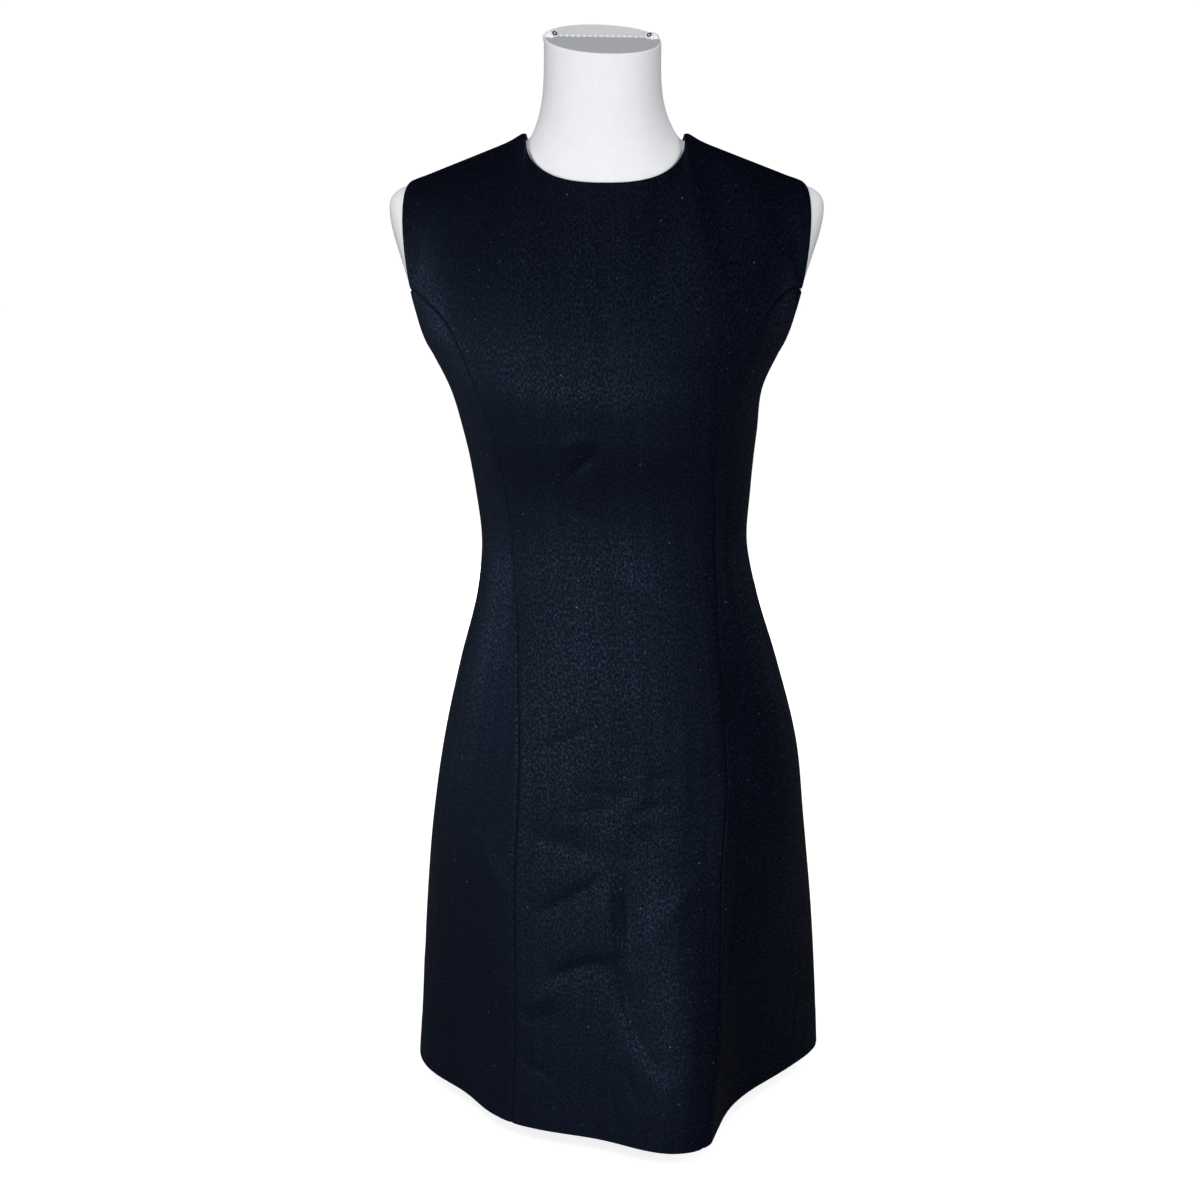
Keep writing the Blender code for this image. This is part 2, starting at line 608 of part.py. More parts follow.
def add_pull(frame):
    """A teardrop plate whose top bar turns inside the slider's bridge."""
    half_top, half_end = PULL_TOP_WIDTH / 2, PULL_END_WIDTH / 2
    crown = PULL_BAR / 2
    tail = half_end - PULL_LENGTH
    outline = [(-half_top, crown), (-half_top, -PULL_SLOT_END * 0.6)]
    outline += [(half_end * cos(a), tail + half_end * sin(a))
                for a in (pi + pi * k / 12 for k in range(13))]
    outline += [(half_top, -PULL_SLOT_END * 0.6), (half_top, crown)]
    mesh = bmesh.new()
    verts = [mesh.verts.new((x, -PULL_THICKNESS / 2, z)) for x, z in outline]
    plate = mesh.faces.new(verts)
    grown = bmesh.ops.extrude_face_region(mesh, geom=[plate])
    for vert in (v for v in grown["geom"] if isinstance(v, bmesh.types.BMVert)):
        vert.co.y = PULL_THICKNESS / 2
    bmesh.ops.recalc_face_normals(mesh, faces=mesh.faces)
    data = bpy.data.meshes.new("zip_pull")
    mesh.to_mesh(data)
    mesh.free()
    pull = add_object("zip_pull", data, ZIP_METAL, smooth=False)
    slot = box((-PULL_SLOT_WIDTH / 2, -PULL_THICKNESS, -PULL_SLOT_END),
               (PULL_SLOT_WIDTH / 2, PULL_THICKNESS, -PULL_BAR / 2), "pull_slot")
    boolean(pull, slot, "DIFFERENCE")
    hinge_depth = (SEAM_GAP + SLIDER_SIZE.y + BRIDGE_REACH - BRIDGE_BAR) / 2
    hinge = frame @ Matrix.Translation((0, hinge_depth, 0))
    for piece in (pull, slot):
        piece.matrix_world = hinge
    print("zip hinge at", [round(v, 5) for v in hinge.translation])


add_form()
add_neck_cap()
add_stand()
ZIP_FRAME = zip_frame()
add_slider(ZIP_FRAME)
add_pull(ZIP_FRAME)
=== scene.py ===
"""A sleeveless sheath dress in navy-black herringbone wool, worn by a white limbless dress form."""
from collections import namedtuple
from math import pi, radians, sin

import bpy
import numpy as np
from mathutils import Euler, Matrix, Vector


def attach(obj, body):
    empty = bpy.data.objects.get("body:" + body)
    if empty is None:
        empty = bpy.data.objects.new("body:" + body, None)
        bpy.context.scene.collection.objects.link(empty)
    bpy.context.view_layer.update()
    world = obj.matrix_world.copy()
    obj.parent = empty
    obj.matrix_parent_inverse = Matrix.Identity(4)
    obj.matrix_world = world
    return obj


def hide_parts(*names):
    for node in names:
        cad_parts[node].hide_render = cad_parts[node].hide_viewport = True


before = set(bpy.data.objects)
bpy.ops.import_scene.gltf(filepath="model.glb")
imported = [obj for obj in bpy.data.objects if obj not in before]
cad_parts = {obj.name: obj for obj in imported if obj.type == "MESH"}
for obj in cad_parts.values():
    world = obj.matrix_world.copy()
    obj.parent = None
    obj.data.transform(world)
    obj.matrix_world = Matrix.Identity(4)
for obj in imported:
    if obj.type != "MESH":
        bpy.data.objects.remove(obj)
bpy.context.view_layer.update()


# ---- Dress shell -----------------------------------------------------------------------
# The dress is cut from coat-weight wool in five long panels, and lined. It hangs from the
# shoulders, fits the form down to the hips and falls free below them. These are its sections
# below the armholes, from the hem up, and the folds and seams that run over them.
HEM_HEIGHT = 0.020
UNDERARM_HEIGHT = 0.775
CLOTH = 0.0019                 # wool and lining together

Section = namedtuple("Section", "height half_width centre front back side front_square back_square")
SECTIONS = (
    Section(0.020, 0.2195, 0.0090, -0.149, 0.165, 0.032, 2.0, 2.1),      # hem
    Section(0.100, 0.2135, 0.0098, -0.146, 0.160, 0.027, 2.0, 2.1),
    Section(0.200, 0.2050, 0.0095, -0.139, 0.151, 0.019, 2.1, 2.2),      # knee
    Section(0.300, 0.1930, 0.0084, -0.131, 0.140, 0.011, 2.2, 2.2),
    Section(0.390, 0.1785, 0.0085, -0.124, 0.127, 0.004, 2.2, 2.2),      # hip
    Section(0.470, 0.1585, 0.0067, -0.116, 0.111, 0.000, 2.2, 2.2),
    Section(0.540, 0.1385, 0.0048, -0.104, 0.088, -0.004, 2.2, 2.1),
    Section(0.590, 0.1305, 0.0022, -0.097, 0.074, -0.006, 2.2, 2.1),     # waist
    Section(0.640, 0.1340, 0.0008, -0.103, 0.076, -0.005, 2.3, 2.2),
    Section(0.700, 0.1420, -0.0022, -0.124, 0.086, -0.003, 2.5, 2.4),
    Section(0.745, 0.1510, -0.0062, -0.134, 0.092, -0.002, 2.6, 2.5),    # bust
    Section(0.775, 0.1660, -0.0068, -0.131, 0.094, -0.002, 2.5, 2.5),    # underarm
)

# Place is in quarter turns from the middle of the front: +1 is the +X side, 2 the middle back.
Fold = namedtuple("Fold", "place width depth top")
FOLDS = (
    Fold(-0.64, 0.180, -0.018, 0.38),
    Fold(0.16, 0.165, 0.035, 0.38),
    Fold(0.64, 0.340, -0.040, 0.40),
    Fold(1.00, 0.110, 0.010, 0.34),
    Fold(1.44, 0.150, -0.012, 0.34),
    Fold(1.78, 0.130, 0.009, 0.36),
    Fold(2.18, 0.140, -0.011, 0.34),
    Fold(2.55, 0.150, 0.010, 0.36),
    Fold(-1.12, 0.120, -0.006, 0.30),
)

# Level is 0 at the hem, 1 at the underarm and 2 at the shoulder; shares run from side to side.
SeamRow = namedtuple("SeamRow", "level minus_x plus_x")
PRINCESS_SEAMS = (
    SeamRow(0.00, -0.385, 0.230),
    SeamRow(0.12, -0.382, 0.280),
    SeamRow(0.25, -0.376, 0.333),
    SeamRow(0.35, -0.380, 0.362),
    SeamRow(0.45, -0.392, 0.401),
    SeamRow(0.55, -0.422, 0.425),
    SeamRow(0.65, -0.480, 0.454),
    SeamRow(0.75, -0.562, 0.517),
    SeamRow(0.81, -0.556, 0.504),
    SeamRow(0.86, -0.536, 0.465),
    SeamRow(0.91, -0.517, 0.458),
    SeamRow(0.95, -0.534, 0.494),
    SeamRow(1.00, -0.564, 0.560),
    SeamRow(1.11, -0.603, 0.592),
    SeamRow(1.19, -0.674, 0.648),
    SeamRow(1.25, -0.760, 0.712),
    SeamRow(1.31, -0.860, 0.800),
    SeamRow(1.40, -1.000, 1.000),
)
SEAM_TOP_LEVEL = 1.40

NECK_POINT = Vector((-0.0070, 0.004, 0.9745))
NECK_HALF_WIDTH = 0.0745
NECK_SQUARE = 2.5              # 2 is an ellipse, and more is squarer
NECK_SHARE = 0.46              # share of each half of the top edge that the neckline takes
FRONT_NECK_DROP = 0.047
FRONT_NECK_REACH = 0.072
BACK_NECK_DROP = 0.014
BACK_NECK_REACH = 0.058
SHOULDER_TIP = Vector((-0.0055, 0.006, 0.932))
SHOULDER_HALF_WIDTH = 0.187
# How the cloth leaves the underarm (START) and reaches the top edge (END): out to its side, in
# towards the other face, and up.
ARMHOLE_START = Vector((0.045, -0.170, 0.055))
ARMHOLE_END = Vector((-0.030, 0.200, 0.050))
SHOULDER_END = Vector((0.0, 0.200, 0.040))
FRONT_NECK_POINT_END = Vector((0.0, 0.180, 0.110))
BACK_NECK_POINT_END = Vector((0.0, 0.195, 0.055))
NECKLINE_END = Vector((0.0, 0.080, 0.150))
UNDERARM_STEP = 0.012          # height over which the slope below the underarm is read
ARMHOLE_POWER = 5              # keeps ARMHOLE_START to the sides
NECK_BLEND = 0.35              # share of the neckline where the neck point's END sets in
SHOULDER_BLEND = 0.30          # share of the edge over which the shoulder's takes over
ARMHOLE_BLEND = 0.75           # share of the edge where the armhole's sets in
CORNER_ROUNDING = 0.018        # how far to each side a corner is averaged
CORNER_SPREAD = 0.055          # how far from the corner the averaging fades
CORNER_RISE = 0.0030           # lifts the corner back, which averaging lowers

FRONT, BACK = -1, 1
SECTION_STEPS = 1200


def column(rows, name):
    return np.array([getattr(row, name) for row in rows])


def curve_through(rows, key, name, at):
    """Smooth curve through one column of a table, read at values of its key column."""
    keys, values = column(rows, key), column(rows, name)
    gaps = np.diff(keys)
    rises = np.diff(values) / gaps
    inner = (rises[:-1] * gaps[1:] + rises[1:] * gaps[:-1]) / (gaps[:-1] + gaps[1:])
    slopes = np.concatenate(([rises[0]], inner, [rises[-1]]))
    cell = np.clip(np.searchsorted(keys, at, side="right") - 1, 0, len(gaps) - 1)
    t = np.clip((at - keys[cell]) / gaps[cell], 0, 1)
    return ((1 + 2 * t) * (1 - t) ** 2 * values[cell] + t * (1 - t) ** 2 * gaps[cell] * slopes[cell]
            + t * t * (3 - 2 * t) * values[cell + 1] + t * t * (t - 1) * gaps[cell] * slopes[cell + 1])


def ease_in(t):
    t = np.clip(t, 0, 1)
    return t * t * (3 - 2 * t)


def fold_depth(place, height):
    """How far the hanging folds carry the skirt out at a place round it."""
    total = np.zeros_like(place)
    for fold in FOLDS:
        away = (place - fold.place + 2) % 4 - 2
        grown = ease_in((fold.top - height) / (fold.top - HEM_HEIGHT))
        total += fold.depth * grown * np.exp(-(away / fold.width) ** 2)
    return total


def shares_of(x, y):
    run = np.concatenate(([0.0], np.cumsum(np.hypot(np.diff(x), np.diff(y)))))
    return 2 * run / run[-1] - 1


def half_section(face, shares, height):
    """Points of the front or back half of the dress's section at a height."""
    size = Section(*(curve_through(SECTIONS, "height", name, height) for name in Section._fields))
    square = size.front_square if face == FRONT else size.back_square
    reach = size.front if face == FRONT else size.back
    angle = np.linspace(-pi / 2, pi / 2, SECTION_STEPS + 1)
    x = size.half_width * np.sign(angle) * np.abs(np.sin(angle)) ** (2 / square)
    y = size.side + (reach - size.side) * np.abs(np.cos(angle)) ** (2 / square)
    share = shares_of(x, y)
    place = share if face == FRONT else np.where(share > 0, 2 - share, -2 - share)
    swell = 1 + fold_depth(place, height) / np.hypot(x, y)
    x, y = x * swell, y * swell
    along = shares_of(x, y)
    points = (size.centre + np.interp(shares, along, x), np.interp(shares, along, y),
              np.full(len(shares), float(height)))
    return np.stack(points, axis=-1)


def corner_edge(face, shares):
    """The neckline and the two shoulder seams, with sharp corners between them."""
    amount, side = np.abs(shares), np.sign(shares)
    turn = np.clip(amount / NECK_SHARE, 0, 1) * pi / 2
    drop = FRONT_NECK_DROP if face == FRONT else BACK_NECK_DROP
    reach = face * (FRONT_NECK_REACH if face == FRONT else BACK_NECK_REACH)
    along = np.clip((amount - NECK_SHARE) / (1 - NECK_SHARE), 0, 1)
    half = (NECK_HALF_WIDTH * np.sin(turn) ** (2 / NECK_SQUARE)
            + (SHOULDER_HALF_WIDTH - NECK_HALF_WIDTH) * along)
    down = np.abs(np.cos(turn)) ** (2 / NECK_SQUARE)
    x = NECK_POINT.x + (SHOULDER_TIP.x - NECK_POINT.x) * along + side * half
    y = NECK_POINT.y + (SHOULDER_TIP.y - NECK_POINT.y) * along + reach * down
    z = NECK_POINT.z + (SHOULDER_TIP.z - NECK_POINT.z) * along - drop * down
    return np.stack((x, y, z), axis=-1)


def top_edge(face, shares):
    """The neckline and the two shoulder seams, with the corners that pressing has rounded."""
    sharp = corner_edge(face, shares)
    before = corner_edge(face, shares - CORNER_ROUNDING)
    after = corner_edge(face, shares + CORNER_ROUNDING)
    rounded = (before + after) / 2
    rounded[:, 2] += CORNER_RISE
    near = np.exp(-((np.abs(shares) - NECK_SHARE) / CORNER_SPREAD) ** 2)[:, None]
    return sharp * (1 - near) + rounded * near


def directions(face, side, vector):
    return np.stack((side * vector.x, np.full(len(side), -face * vector.y),
                     np.full(len(side), vector.z)), axis=-1)


def bodice(face, shares, rise):
    """Points between the underarm section (rise 0) and the top edge (rise 1)."""
    low = half_section(face, shares, UNDERARM_HEIGHT)
    below = half_section(face, shares, UNDERARM_HEIGHT - UNDERARM_STEP)
    slope = (low - below) / UNDERARM_STEP
    high = top_edge(face, shares)
    length = np.linalg.norm(high - low, axis=-1)[:, None]
    amount, side = np.abs(shares), np.sign(shares)
    at_arm = (amount ** ARMHOLE_POWER)[:, None]
    leave = slope * length * (1 - at_arm) + directions(face, side, ARMHOLE_START) * at_arm
    arrive = directions(face, side, NECKLINE_END)
    neck_point_end = FRONT_NECK_POINT_END if face == FRONT else BACK_NECK_POINT_END
    for vector, weight in (
            (neck_point_end, ease_in((amount / NECK_SHARE - NECK_BLEND) / (1 - NECK_BLEND))),
            (SHOULDER_END, ease_in((amount - NECK_SHARE) / SHOULDER_BLEND)),
            (ARMHOLE_END, np.clip((amount - ARMHOLE_BLEND) / (1 - ARMHOLE_BLEND), 0, 1) ** 2)):
        arrive = arrive * (1 - weight[:, None]) + directions(face, side, vector) * weight[:, None]
    t = rise
    return ((1 + 2 * t) * (1 - t) ** 2 * low + t * (1 - t) ** 2 * leave
            + t * t * (3 - 2 * t) * high + t * t * (t - 1) * arrive)


def dress_row(face, shares, level):
    """One row of points across the dress's outer face."""
    if level <= 1:
        return half_section(face, shares, HEM_HEIGHT + (UNDERARM_HEIGHT - HEM_HEIGHT) * level)
    return bodice(face, shares, level - 1)


def seam_share(level, side):
    name = "plus_x" if side > 0 else "minus_x"
    share = curve_through(PRINCESS_SEAMS, "level", name, min(level, SEAM_TOP_LEVEL))
    return float(np.clip(share, -1, 1))


# ---- Creases ---------------------------------------------------------------------------
# Wear and storage have left soft creases in the wool, most of them where the lap bends. Each
# is pressed in along a bowed line, given by its ends as seen from its own side of the dress,
# and reaches further to one side of the line than to the other.
Crease = namedtuple("Crease", "face x z to_x to_z bow left right depth")
CREASES = (
    # the edge where the skirt's main fold turns away, and the fold beside it
    Crease(FRONT, 0.112, 0.390, 0.087, -0.050, 0.003, 0.010, 0.034, 0.0155),
    Crease(FRONT, 0.130, 0.290, 0.104, 0.130, 0.002, 0.012, 0.008, -0.0042),
    # the princess seams, where the flat front meets the sides
    Crease(FRONT, 0.107, 0.330, 0.086, 0.780, -0.004, 0.038, 0.009, 0.0074),
    Crease(FRONT, -0.092, -0.020, -0.090, 0.740, 0.000, 0.010, 0.036, 0.0024),
    # the long crease down the middle of the lap, and the flat facets beside it
    Crease(FRONT, -0.003, 0.306, 0.003, 0.192, 0.003, 0.007, 0.014, 0.0034),
    Crease(FRONT, 0.010, 0.294, 0.016, 0.196, -0.002, 0.013, 0.007, -0.0044),
    Crease(FRONT, 0.003, 0.216, 0.026, 0.118, 0.003, 0.034, 0.0048, -0.0052),
    Crease(FRONT, 0.016, 0.144, 0.056, 0.088, 0.002, 0.026, 0.0050, -0.0034),
    Crease(FRONT, 0.016, 0.216, 0.084, 0.292, 0.003, 0.007, 0.018, 0.0030),
    # what branches from it to the left
    Crease(FRONT, -0.082, 0.242, 0.004, 0.296, 0.003, 0.006, 0.014, -0.0028),
    Crease(FRONT, -0.066, 0.176, 0.006, 0.204, -0.006, 0.006, 0.014, -0.0036),
    Crease(FRONT, -0.090, 0.146, -0.040, 0.182, 0.002, 0.007, 0.010, 0.0018),
    Crease(FRONT, -0.090, 0.130, -0.050, 0.152, 0.001, 0.005, 0.008, -0.0014),
    # wrinkles across the lap
    Crease(FRONT, -0.092, 0.330, -0.004, 0.306, 0.003, 0.015, 0.008, -0.0026),
    Crease(FRONT, -0.052, 0.336, -0.020, 0.330, -0.003, 0.006, 0.006, 0.0012),
    Crease(FRONT, -0.008, 0.338, 0.020, 0.304, 0.000, 0.006, 0.006, 0.0022),
    Crease(FRONT, 0.016, 0.336, 0.058, 0.328, 0.002, 0.0045, 0.007, -0.0020),
    Crease(FRONT, 0.012, 0.340, 0.060, 0.358, -0.004, 0.0045, 0.007, -0.0018),
    Crease(FRONT, -0.044, 0.346, 0.012, 0.356, -0.001, 0.005, 0.008, -0.0018),
    Crease(FRONT, -0.042, 0.374, 0.024, 0.366, 0.003, 0.005, 0.008, -0.0016),
    Crease(FRONT, 0.030, 0.376, 0.064, 0.384, -0.002, 0.005, 0.007, -0.0012),
    # near the hem
    Crease(FRONT, -0.002, 0.086, 0.006, 0.030, 0.001, 0.004, 0.004, -0.0013),
    Crease(FRONT, 0.012, 0.104, 0.026, 0.062, 0.001, 0.004, 0.004, -0.0011),
    Crease(FRONT, -0.096, 0.094, -0.052, 0.078, 0.002, 0.005, 0.005, -0.0012),
    # slanting drag lines over the stomach and the waist
    Crease(FRONT, -0.088, 0.400, -0.006, 0.440, 0.002, 0.004, 0.010, -0.0016),
    Crease(FRONT, 0.000, 0.440, 0.062, 0.404, 0.003, 0.012, 0.009, -0.0010),
    Crease(FRONT, -0.086, 0.578, -0.016, 0.538, 0.003, 0.006, 0.012, -0.0015),
    Crease(FRONT, -0.040, 0.604, 0.066, 0.536, 0.004, 0.008, 0.015, -0.0013),
    Crease(FRONT, -0.060, 0.640, 0.030, 0.606, -0.003, 0.008, 0.014, -0.0010),
    # the sharp little pinch below the bust
    Crease(FRONT, -0.044, 0.664, -0.012, 0.697, 0.002, 0.0045, 0.0055, -0.0026),
    Crease(FRONT, -0.052, 0.690, -0.012, 0.702, -0.005, 0.006, 0.006, 0.0016),
    # side panels
    Crease(FRONT, 0.098, 0.364, 0.142, 0.380, 0.000, 0.005, 0.006, 0.0018),
    Crease(FRONT, 0.104, 0.350, 0.142, 0.358, 0.000, 0.004, 0.006, -0.0022),
    Crease(FRONT, 0.108, 0.328, 0.148, 0.318, 0.000, 0.006, 0.007, 0.0014),
    Crease(FRONT, -0.130, 0.320, -0.100, 0.252, 0.002, 0.007, 0.012, 0.0022),
    Crease(FRONT, -0.146, 0.180, -0.120, 0.026, 0.004, 0.010, 0.016, -0.0028),
    Crease(FRONT, -0.190, 0.150, -0.160, 0.080, 0.003, 0.008, 0.012, 0.0022),
    # hidden side: the darts' ends, and where the seat of the skirt has been sat in
    Crease(BACK, -0.070, 0.486, -0.070, 0.716, 0.000, 0.007, 0.007, -0.0010),
    Crease(BACK, 0.070, 0.486, 0.070, 0.716, 0.000, 0.007, 0.007, -0.0010),
    Crease(BACK, -0.104, 0.300, -0.014, 0.324, 0.006, 0.006, 0.014, -0.0026),
    Crease(BACK, 0.026, 0.330, 0.112, 0.298, -0.005, 0.006, 0.013, -0.0024),
    Crease(BACK, -0.084, 0.270, -0.024, 0.254, -0.004, 0.006, 0.010, -0.0018),
    Crease(BACK, 0.024, 0.278, 0.090, 0.260, 0.005, 0.009, 0.009, 0.0018),
    Crease(BACK, -0.058, 0.236, -0.078, 0.110, 0.006, 0.008, 0.014, -0.0026),
    Crease(BACK, 0.050, 0.246, 0.086, 0.100, -0.006, 0.013, 0.007, -0.0028),
    Crease(BACK, -0.108, 0.560, -0.016, 0.594, 0.004, 0.006, 0.012, -0.0016),
    Crease(BACK, 0.016, 0.598, 0.104, 0.562, 0.004, 0.006, 0.012, -0.0016),
    Crease(BACK, -0.092, 0.436, -0.020, 0.420, 0.003, 0.008, 0.012, -0.0012),
)
CREASE_SHARPNESS = 0.22        # share of a crease's reach over which its line is rounded


def crease_depth(face, points):
    """How far the creases push the cloth out at points of one face of the dress."""
    total = np.zeros(points.shape[:-1])
    for crease in CREASES:
        if crease.face != face:
            continue
        run = np.array((crease.to_x - crease.x, crease.to_z - crease.z))
        length = np.hypot(*run)
        away = points[..., (0, 2)] - np.array((crease.x, crease.z))
        along = away @ run / length ** 2
        aside = (away[..., 0] * run[1] - away[..., 1] * run[0]) / length
        aside = aside - crease.bow * 4 * along * (1 - along)
        faded = np.sin(pi * np.clip(along, 0, 1))
        q = aside / np.where(aside < 0, crease.left, crease.right)
        profile = np.exp(CREASE_SHARPNESS - np.hypot(q, CREASE_SHARPNESS))
        total += crease.depth * faded * profile
    return total


# ---- Cloth finishes --------------------------------------------------------------------
# The wool is a fine herringbone: twill ribs that turn back on themselves in narrow stripes,
# navy in the warp and black in the weft. The lining is a dull navy satin.
class Value:
    """A shader socket that adds Math nodes for the sums written with it."""

    def __init__(self, tree, socket):
        self.tree, self.socket = tree, socket

    def math(self, operation, *others):
        return self.tree.node("ShaderNodeMath", {"operation": operation}, [self, *others])

    def __add__(self, other):
        return self.math("ADD", other)

    def __sub__(self, other):
        return self.math("SUBTRACT", other)

    def __rsub__(self, other):
        return self.tree.node("ShaderNodeMath", {"operation": "SUBTRACT"}, [other, self])

    def __mul__(self, other):
        return self.math("MULTIPLY", other)

    __radd__, __rmul__ = __add__, __mul__


class Finish:
    """A material whose Principled shader is fed by nodes."""

    def __init__(self, name, **fixed):
        self.material = bpy.data.materials.new(name)
        self.material.use_nodes = True
        self.nodes = self.material.node_tree.nodes
        self.links = self.material.node_tree.links
        self.shader = self.nodes["Principled BSDF"]
        for socket, value in fixed.items():
            self.shader.inputs[socket.replace("_", " ")].default_value = value

    def node(self, kind, settings=None, values=(), output=0):
        """Adds a node. Values are a list in socket order, or a dictionary by socket name."""
        made = self.nodes.new(kind)
        for name, setting in (settings or {}).items():
            setattr(made, name, setting)
        pairs = values.items() if isinstance(values, dict) else enumerate(values)
        for key, value in pairs:
            if isinstance(value, Value):
                self.links.new(value.socket, made.inputs[key])
            elif value is not None:
                made.inputs[key].default_value = value
        return Value(self, made.outputs[output])

    def parts(self, vector):
        """The three numbers of a vector."""
        split = self.node("ShaderNodeSeparateXYZ", {}, [vector]).socket.node
        return [Value(self, part) for part in split.outputs]

    def feed(self, socket, value):
        self.links.new(value.socket, self.shader.inputs[socket])


STRIPE = 0.0098                # width of one stripe of the herringbone
RIB = 0.0027                   # height of one rib where it crosses a vertical line
RIB_SLANT = 0.9                # how far a rib climbs for what it runs across
YARN = 0.0024                  # size of the flecks where yarns catch the light
LINT = 0.0028                  # specks of pale fluff
LINT_LEVEL = 0.83              # noise above which a speck shows
DART_PLACE = 0.070             # the two darts that shape the back at the waist
DART_MIDDLE = 0.600
DART_LENGTH = 0.215
DART_WIDTH = 0.0013
DART_BEHIND = 0.03             # the front, which has no darts, lies before this


def herringbone_wool():
    wool = Finish("herringbone_wool")
    wool.shader.inputs["Specular IOR Level"].default_value = 0.28
    wool.shader.inputs["Specular Tint"].default_value = (0.45, 0.64, 1.0, 1)
    place = wool.node("ShaderNodeUVMap")
    u, v = wool.parts(place)[:2]
    zigzag = u.math("PINGPONG", STRIPE)
    turned = (u * (1 / STRIPE)).math("FLOOR").math("MODULO", 2.0)
    rib = ((v + zigzag * RIB_SLANT) * (1 / RIB) + turned * 0.5) * (2 * pi)
    ridge = rib.math("SINE") * 0.5 + 0.5
    drawn = wool.node("ShaderNodeMapping", {}, {"Vector": place, "Scale": (1.2, 0.75, 1.0)})
    yarn = wool.node("ShaderNodeTexNoise", {}, {"Vector": drawn, "Scale": 1 / YARN, "Detail": 1.0})
    cloud = wool.node("ShaderNodeTexNoise", {}, {"Vector": place, "Scale": 14.0, "Detail": 3.0})
    x, y, z = wool.parts(wool.node("ShaderNodeTexCoord", output=3))
    beside = (x.math("ABSOLUTE") - DART_PLACE).math("ABSOLUTE")
    within = (z - DART_MIDDLE).math("ABSOLUTE").math("LESS_THAN", DART_LENGTH / 2)
    behind = y.math("GREATER_THAN", DART_BEHIND)
    dart = beside.math("LESS_THAN", DART_WIDTH / 2) * within * behind
    # Seams and darts are darkened in the wool's colour, as painted shade in their grooves.
    painted_seam_shade = wool.node("ShaderNodeAttribute", {"attribute_name": "painted_seam_shade"}, output=2) + dart
    # Every other stripe is painted a little lighter, as painted sheen where its ribs catch the light.
    weave = ridge * 1.1 + yarn * 5.4 + turned * 0.12 - 2.80
    tone_with_painted_light = weave * (cloud * 0.7 + 0.65) * (1 - painted_seam_shade * 0.8)
    shade = tone_with_painted_light.math("MAXIMUM", 0.0)
    twill = wool.node("ShaderNodeMix", {"data_type": "RGBA"}, {
        "Factor": shade.math("POWER", 4.0), "A": (0.0001, 0.0002, 0.0012, 1),
        "B": (0.0037, 0.0051, 0.0190, 1)}, 2)
    fluff = wool.node("ShaderNodeTexNoise", {}, {"Vector": place, "Scale": 1 / LINT, "Detail": 0.0})
    lint = ((fluff - LINT_LEVEL) * 12).math("MAXIMUM", 0.0)
    colour = wool.node("ShaderNodeMix", {"data_type": "RGBA"}, {
        "Factor": lint, "A": twill, "B": (0.10, 0.11, 0.13, 1)}, 2)
    wool.feed("Base Color", colour)
    wool.feed("Roughness", (0.73 - shade * 0.20 + painted_seam_shade * 0.15).math("MAXIMUM", 0.3))
    bump = wool.node("ShaderNodeBump", {}, {"Strength": 0.3, "Distance": 0.0003,
                                            "Height": ridge + yarn - dart * 2.0})
    wool.feed("Normal", bump)
    return wool.material


def satin_lining():
    satin = Finish("satin_lining", Roughness=0.5)
    satin.shader.inputs["Base Color"].default_value = (0.012, 0.014, 0.022, 1)
    return satin.material


WOOL = herringbone_wool()
LINING = satin_lining()


# ---- Panels ----------------------------------------------------------------------------
# Three fronts and two backs. Each is laid out as a fine grid on the dress, rolled in a little
# where its edges are turned and sewn, and lined, so its wall has an inner and an outer face.
GRID_PITCH = 0.0033
EDGE_STEPS = (0.0, 0.0006, 0.0013, 0.0024)       # finer steps inwards from each edge
SKIRT_RUN = UNDERARM_HEIGHT - HEM_HEIGHT
BODICE_RUN = 0.19              # cloth from the underarm to the shoulder
WIDTH_SAMPLES = 30             # points that measure a row, and rows that measure a panel
LEVEL_SAMPLES = 15
LEAST_WIDTH = 0.01             # keeps the gap in proportion where a panel runs to a point
SEAM_GAP = 0.00002
SEAM_ROLL = 0.0009             # how far a sewn edge dips
SEAM_ROLL_WIDTH = 0.0015
PAINTED_SEAM_SHADE_WIDTH = 0.0009          # the painted shade along a sewn edge
ALLOWANCE = 0.014              # pressed-open seam allowance that lifts the wool beside a seam
ALLOWANCE_LIFT = 0.0003
ALLOWANCE_SOFTNESS = 0.20      # share of its depth over which its edge fades
HEM_DEPTH = 0.042
HEM_LIFT = 0.0002
HEM_SOFTNESS = 0.05


def edged_steps(length):
    """Places along a length, from 0 to 1, finer at both ends."""
    count = max(2, round((length - 2 * EDGE_STEPS[-1]) / GRID_PITCH))
    middle = np.linspace(EDGE_STEPS[-1], length - EDGE_STEPS[-1], count + 1)
    ends = np.array(EDGE_STEPS[:-1])
    return np.concatenate((ends, middle, (length - ends)[::-1])) / length


def along_rows(points):
    steps = np.linalg.norm(np.diff(points, axis=1), axis=-1)
    return np.concatenate((np.zeros((len(points), 1)), np.cumsum(steps, axis=1)), axis=1)


def up_from_hem(points):
    """Distance up the cloth, square to its rows."""
    steps = np.diff(points, axis=0)
    across = np.gradient(points, axis=1)[:-1]
    across /= np.linalg.norm(across, axis=-1)[..., None]
    rises = np.linalg.norm(np.cross(steps, across), axis=-1)
    return np.concatenate((np.zeros((1, points.shape[1])), np.cumsum(rises, axis=0)))


def grid_normals(points):
    normal = np.cross(np.gradient(points, axis=1), np.gradient(points, axis=0))
    return normal / np.linalg.norm(normal, axis=-1)[..., None]


def row_width(face, limits, level):
    row = dress_row(face, np.linspace(*limits(level), WIDTH_SAMPLES), level)
    return along_rows(row[None])[0, -1]


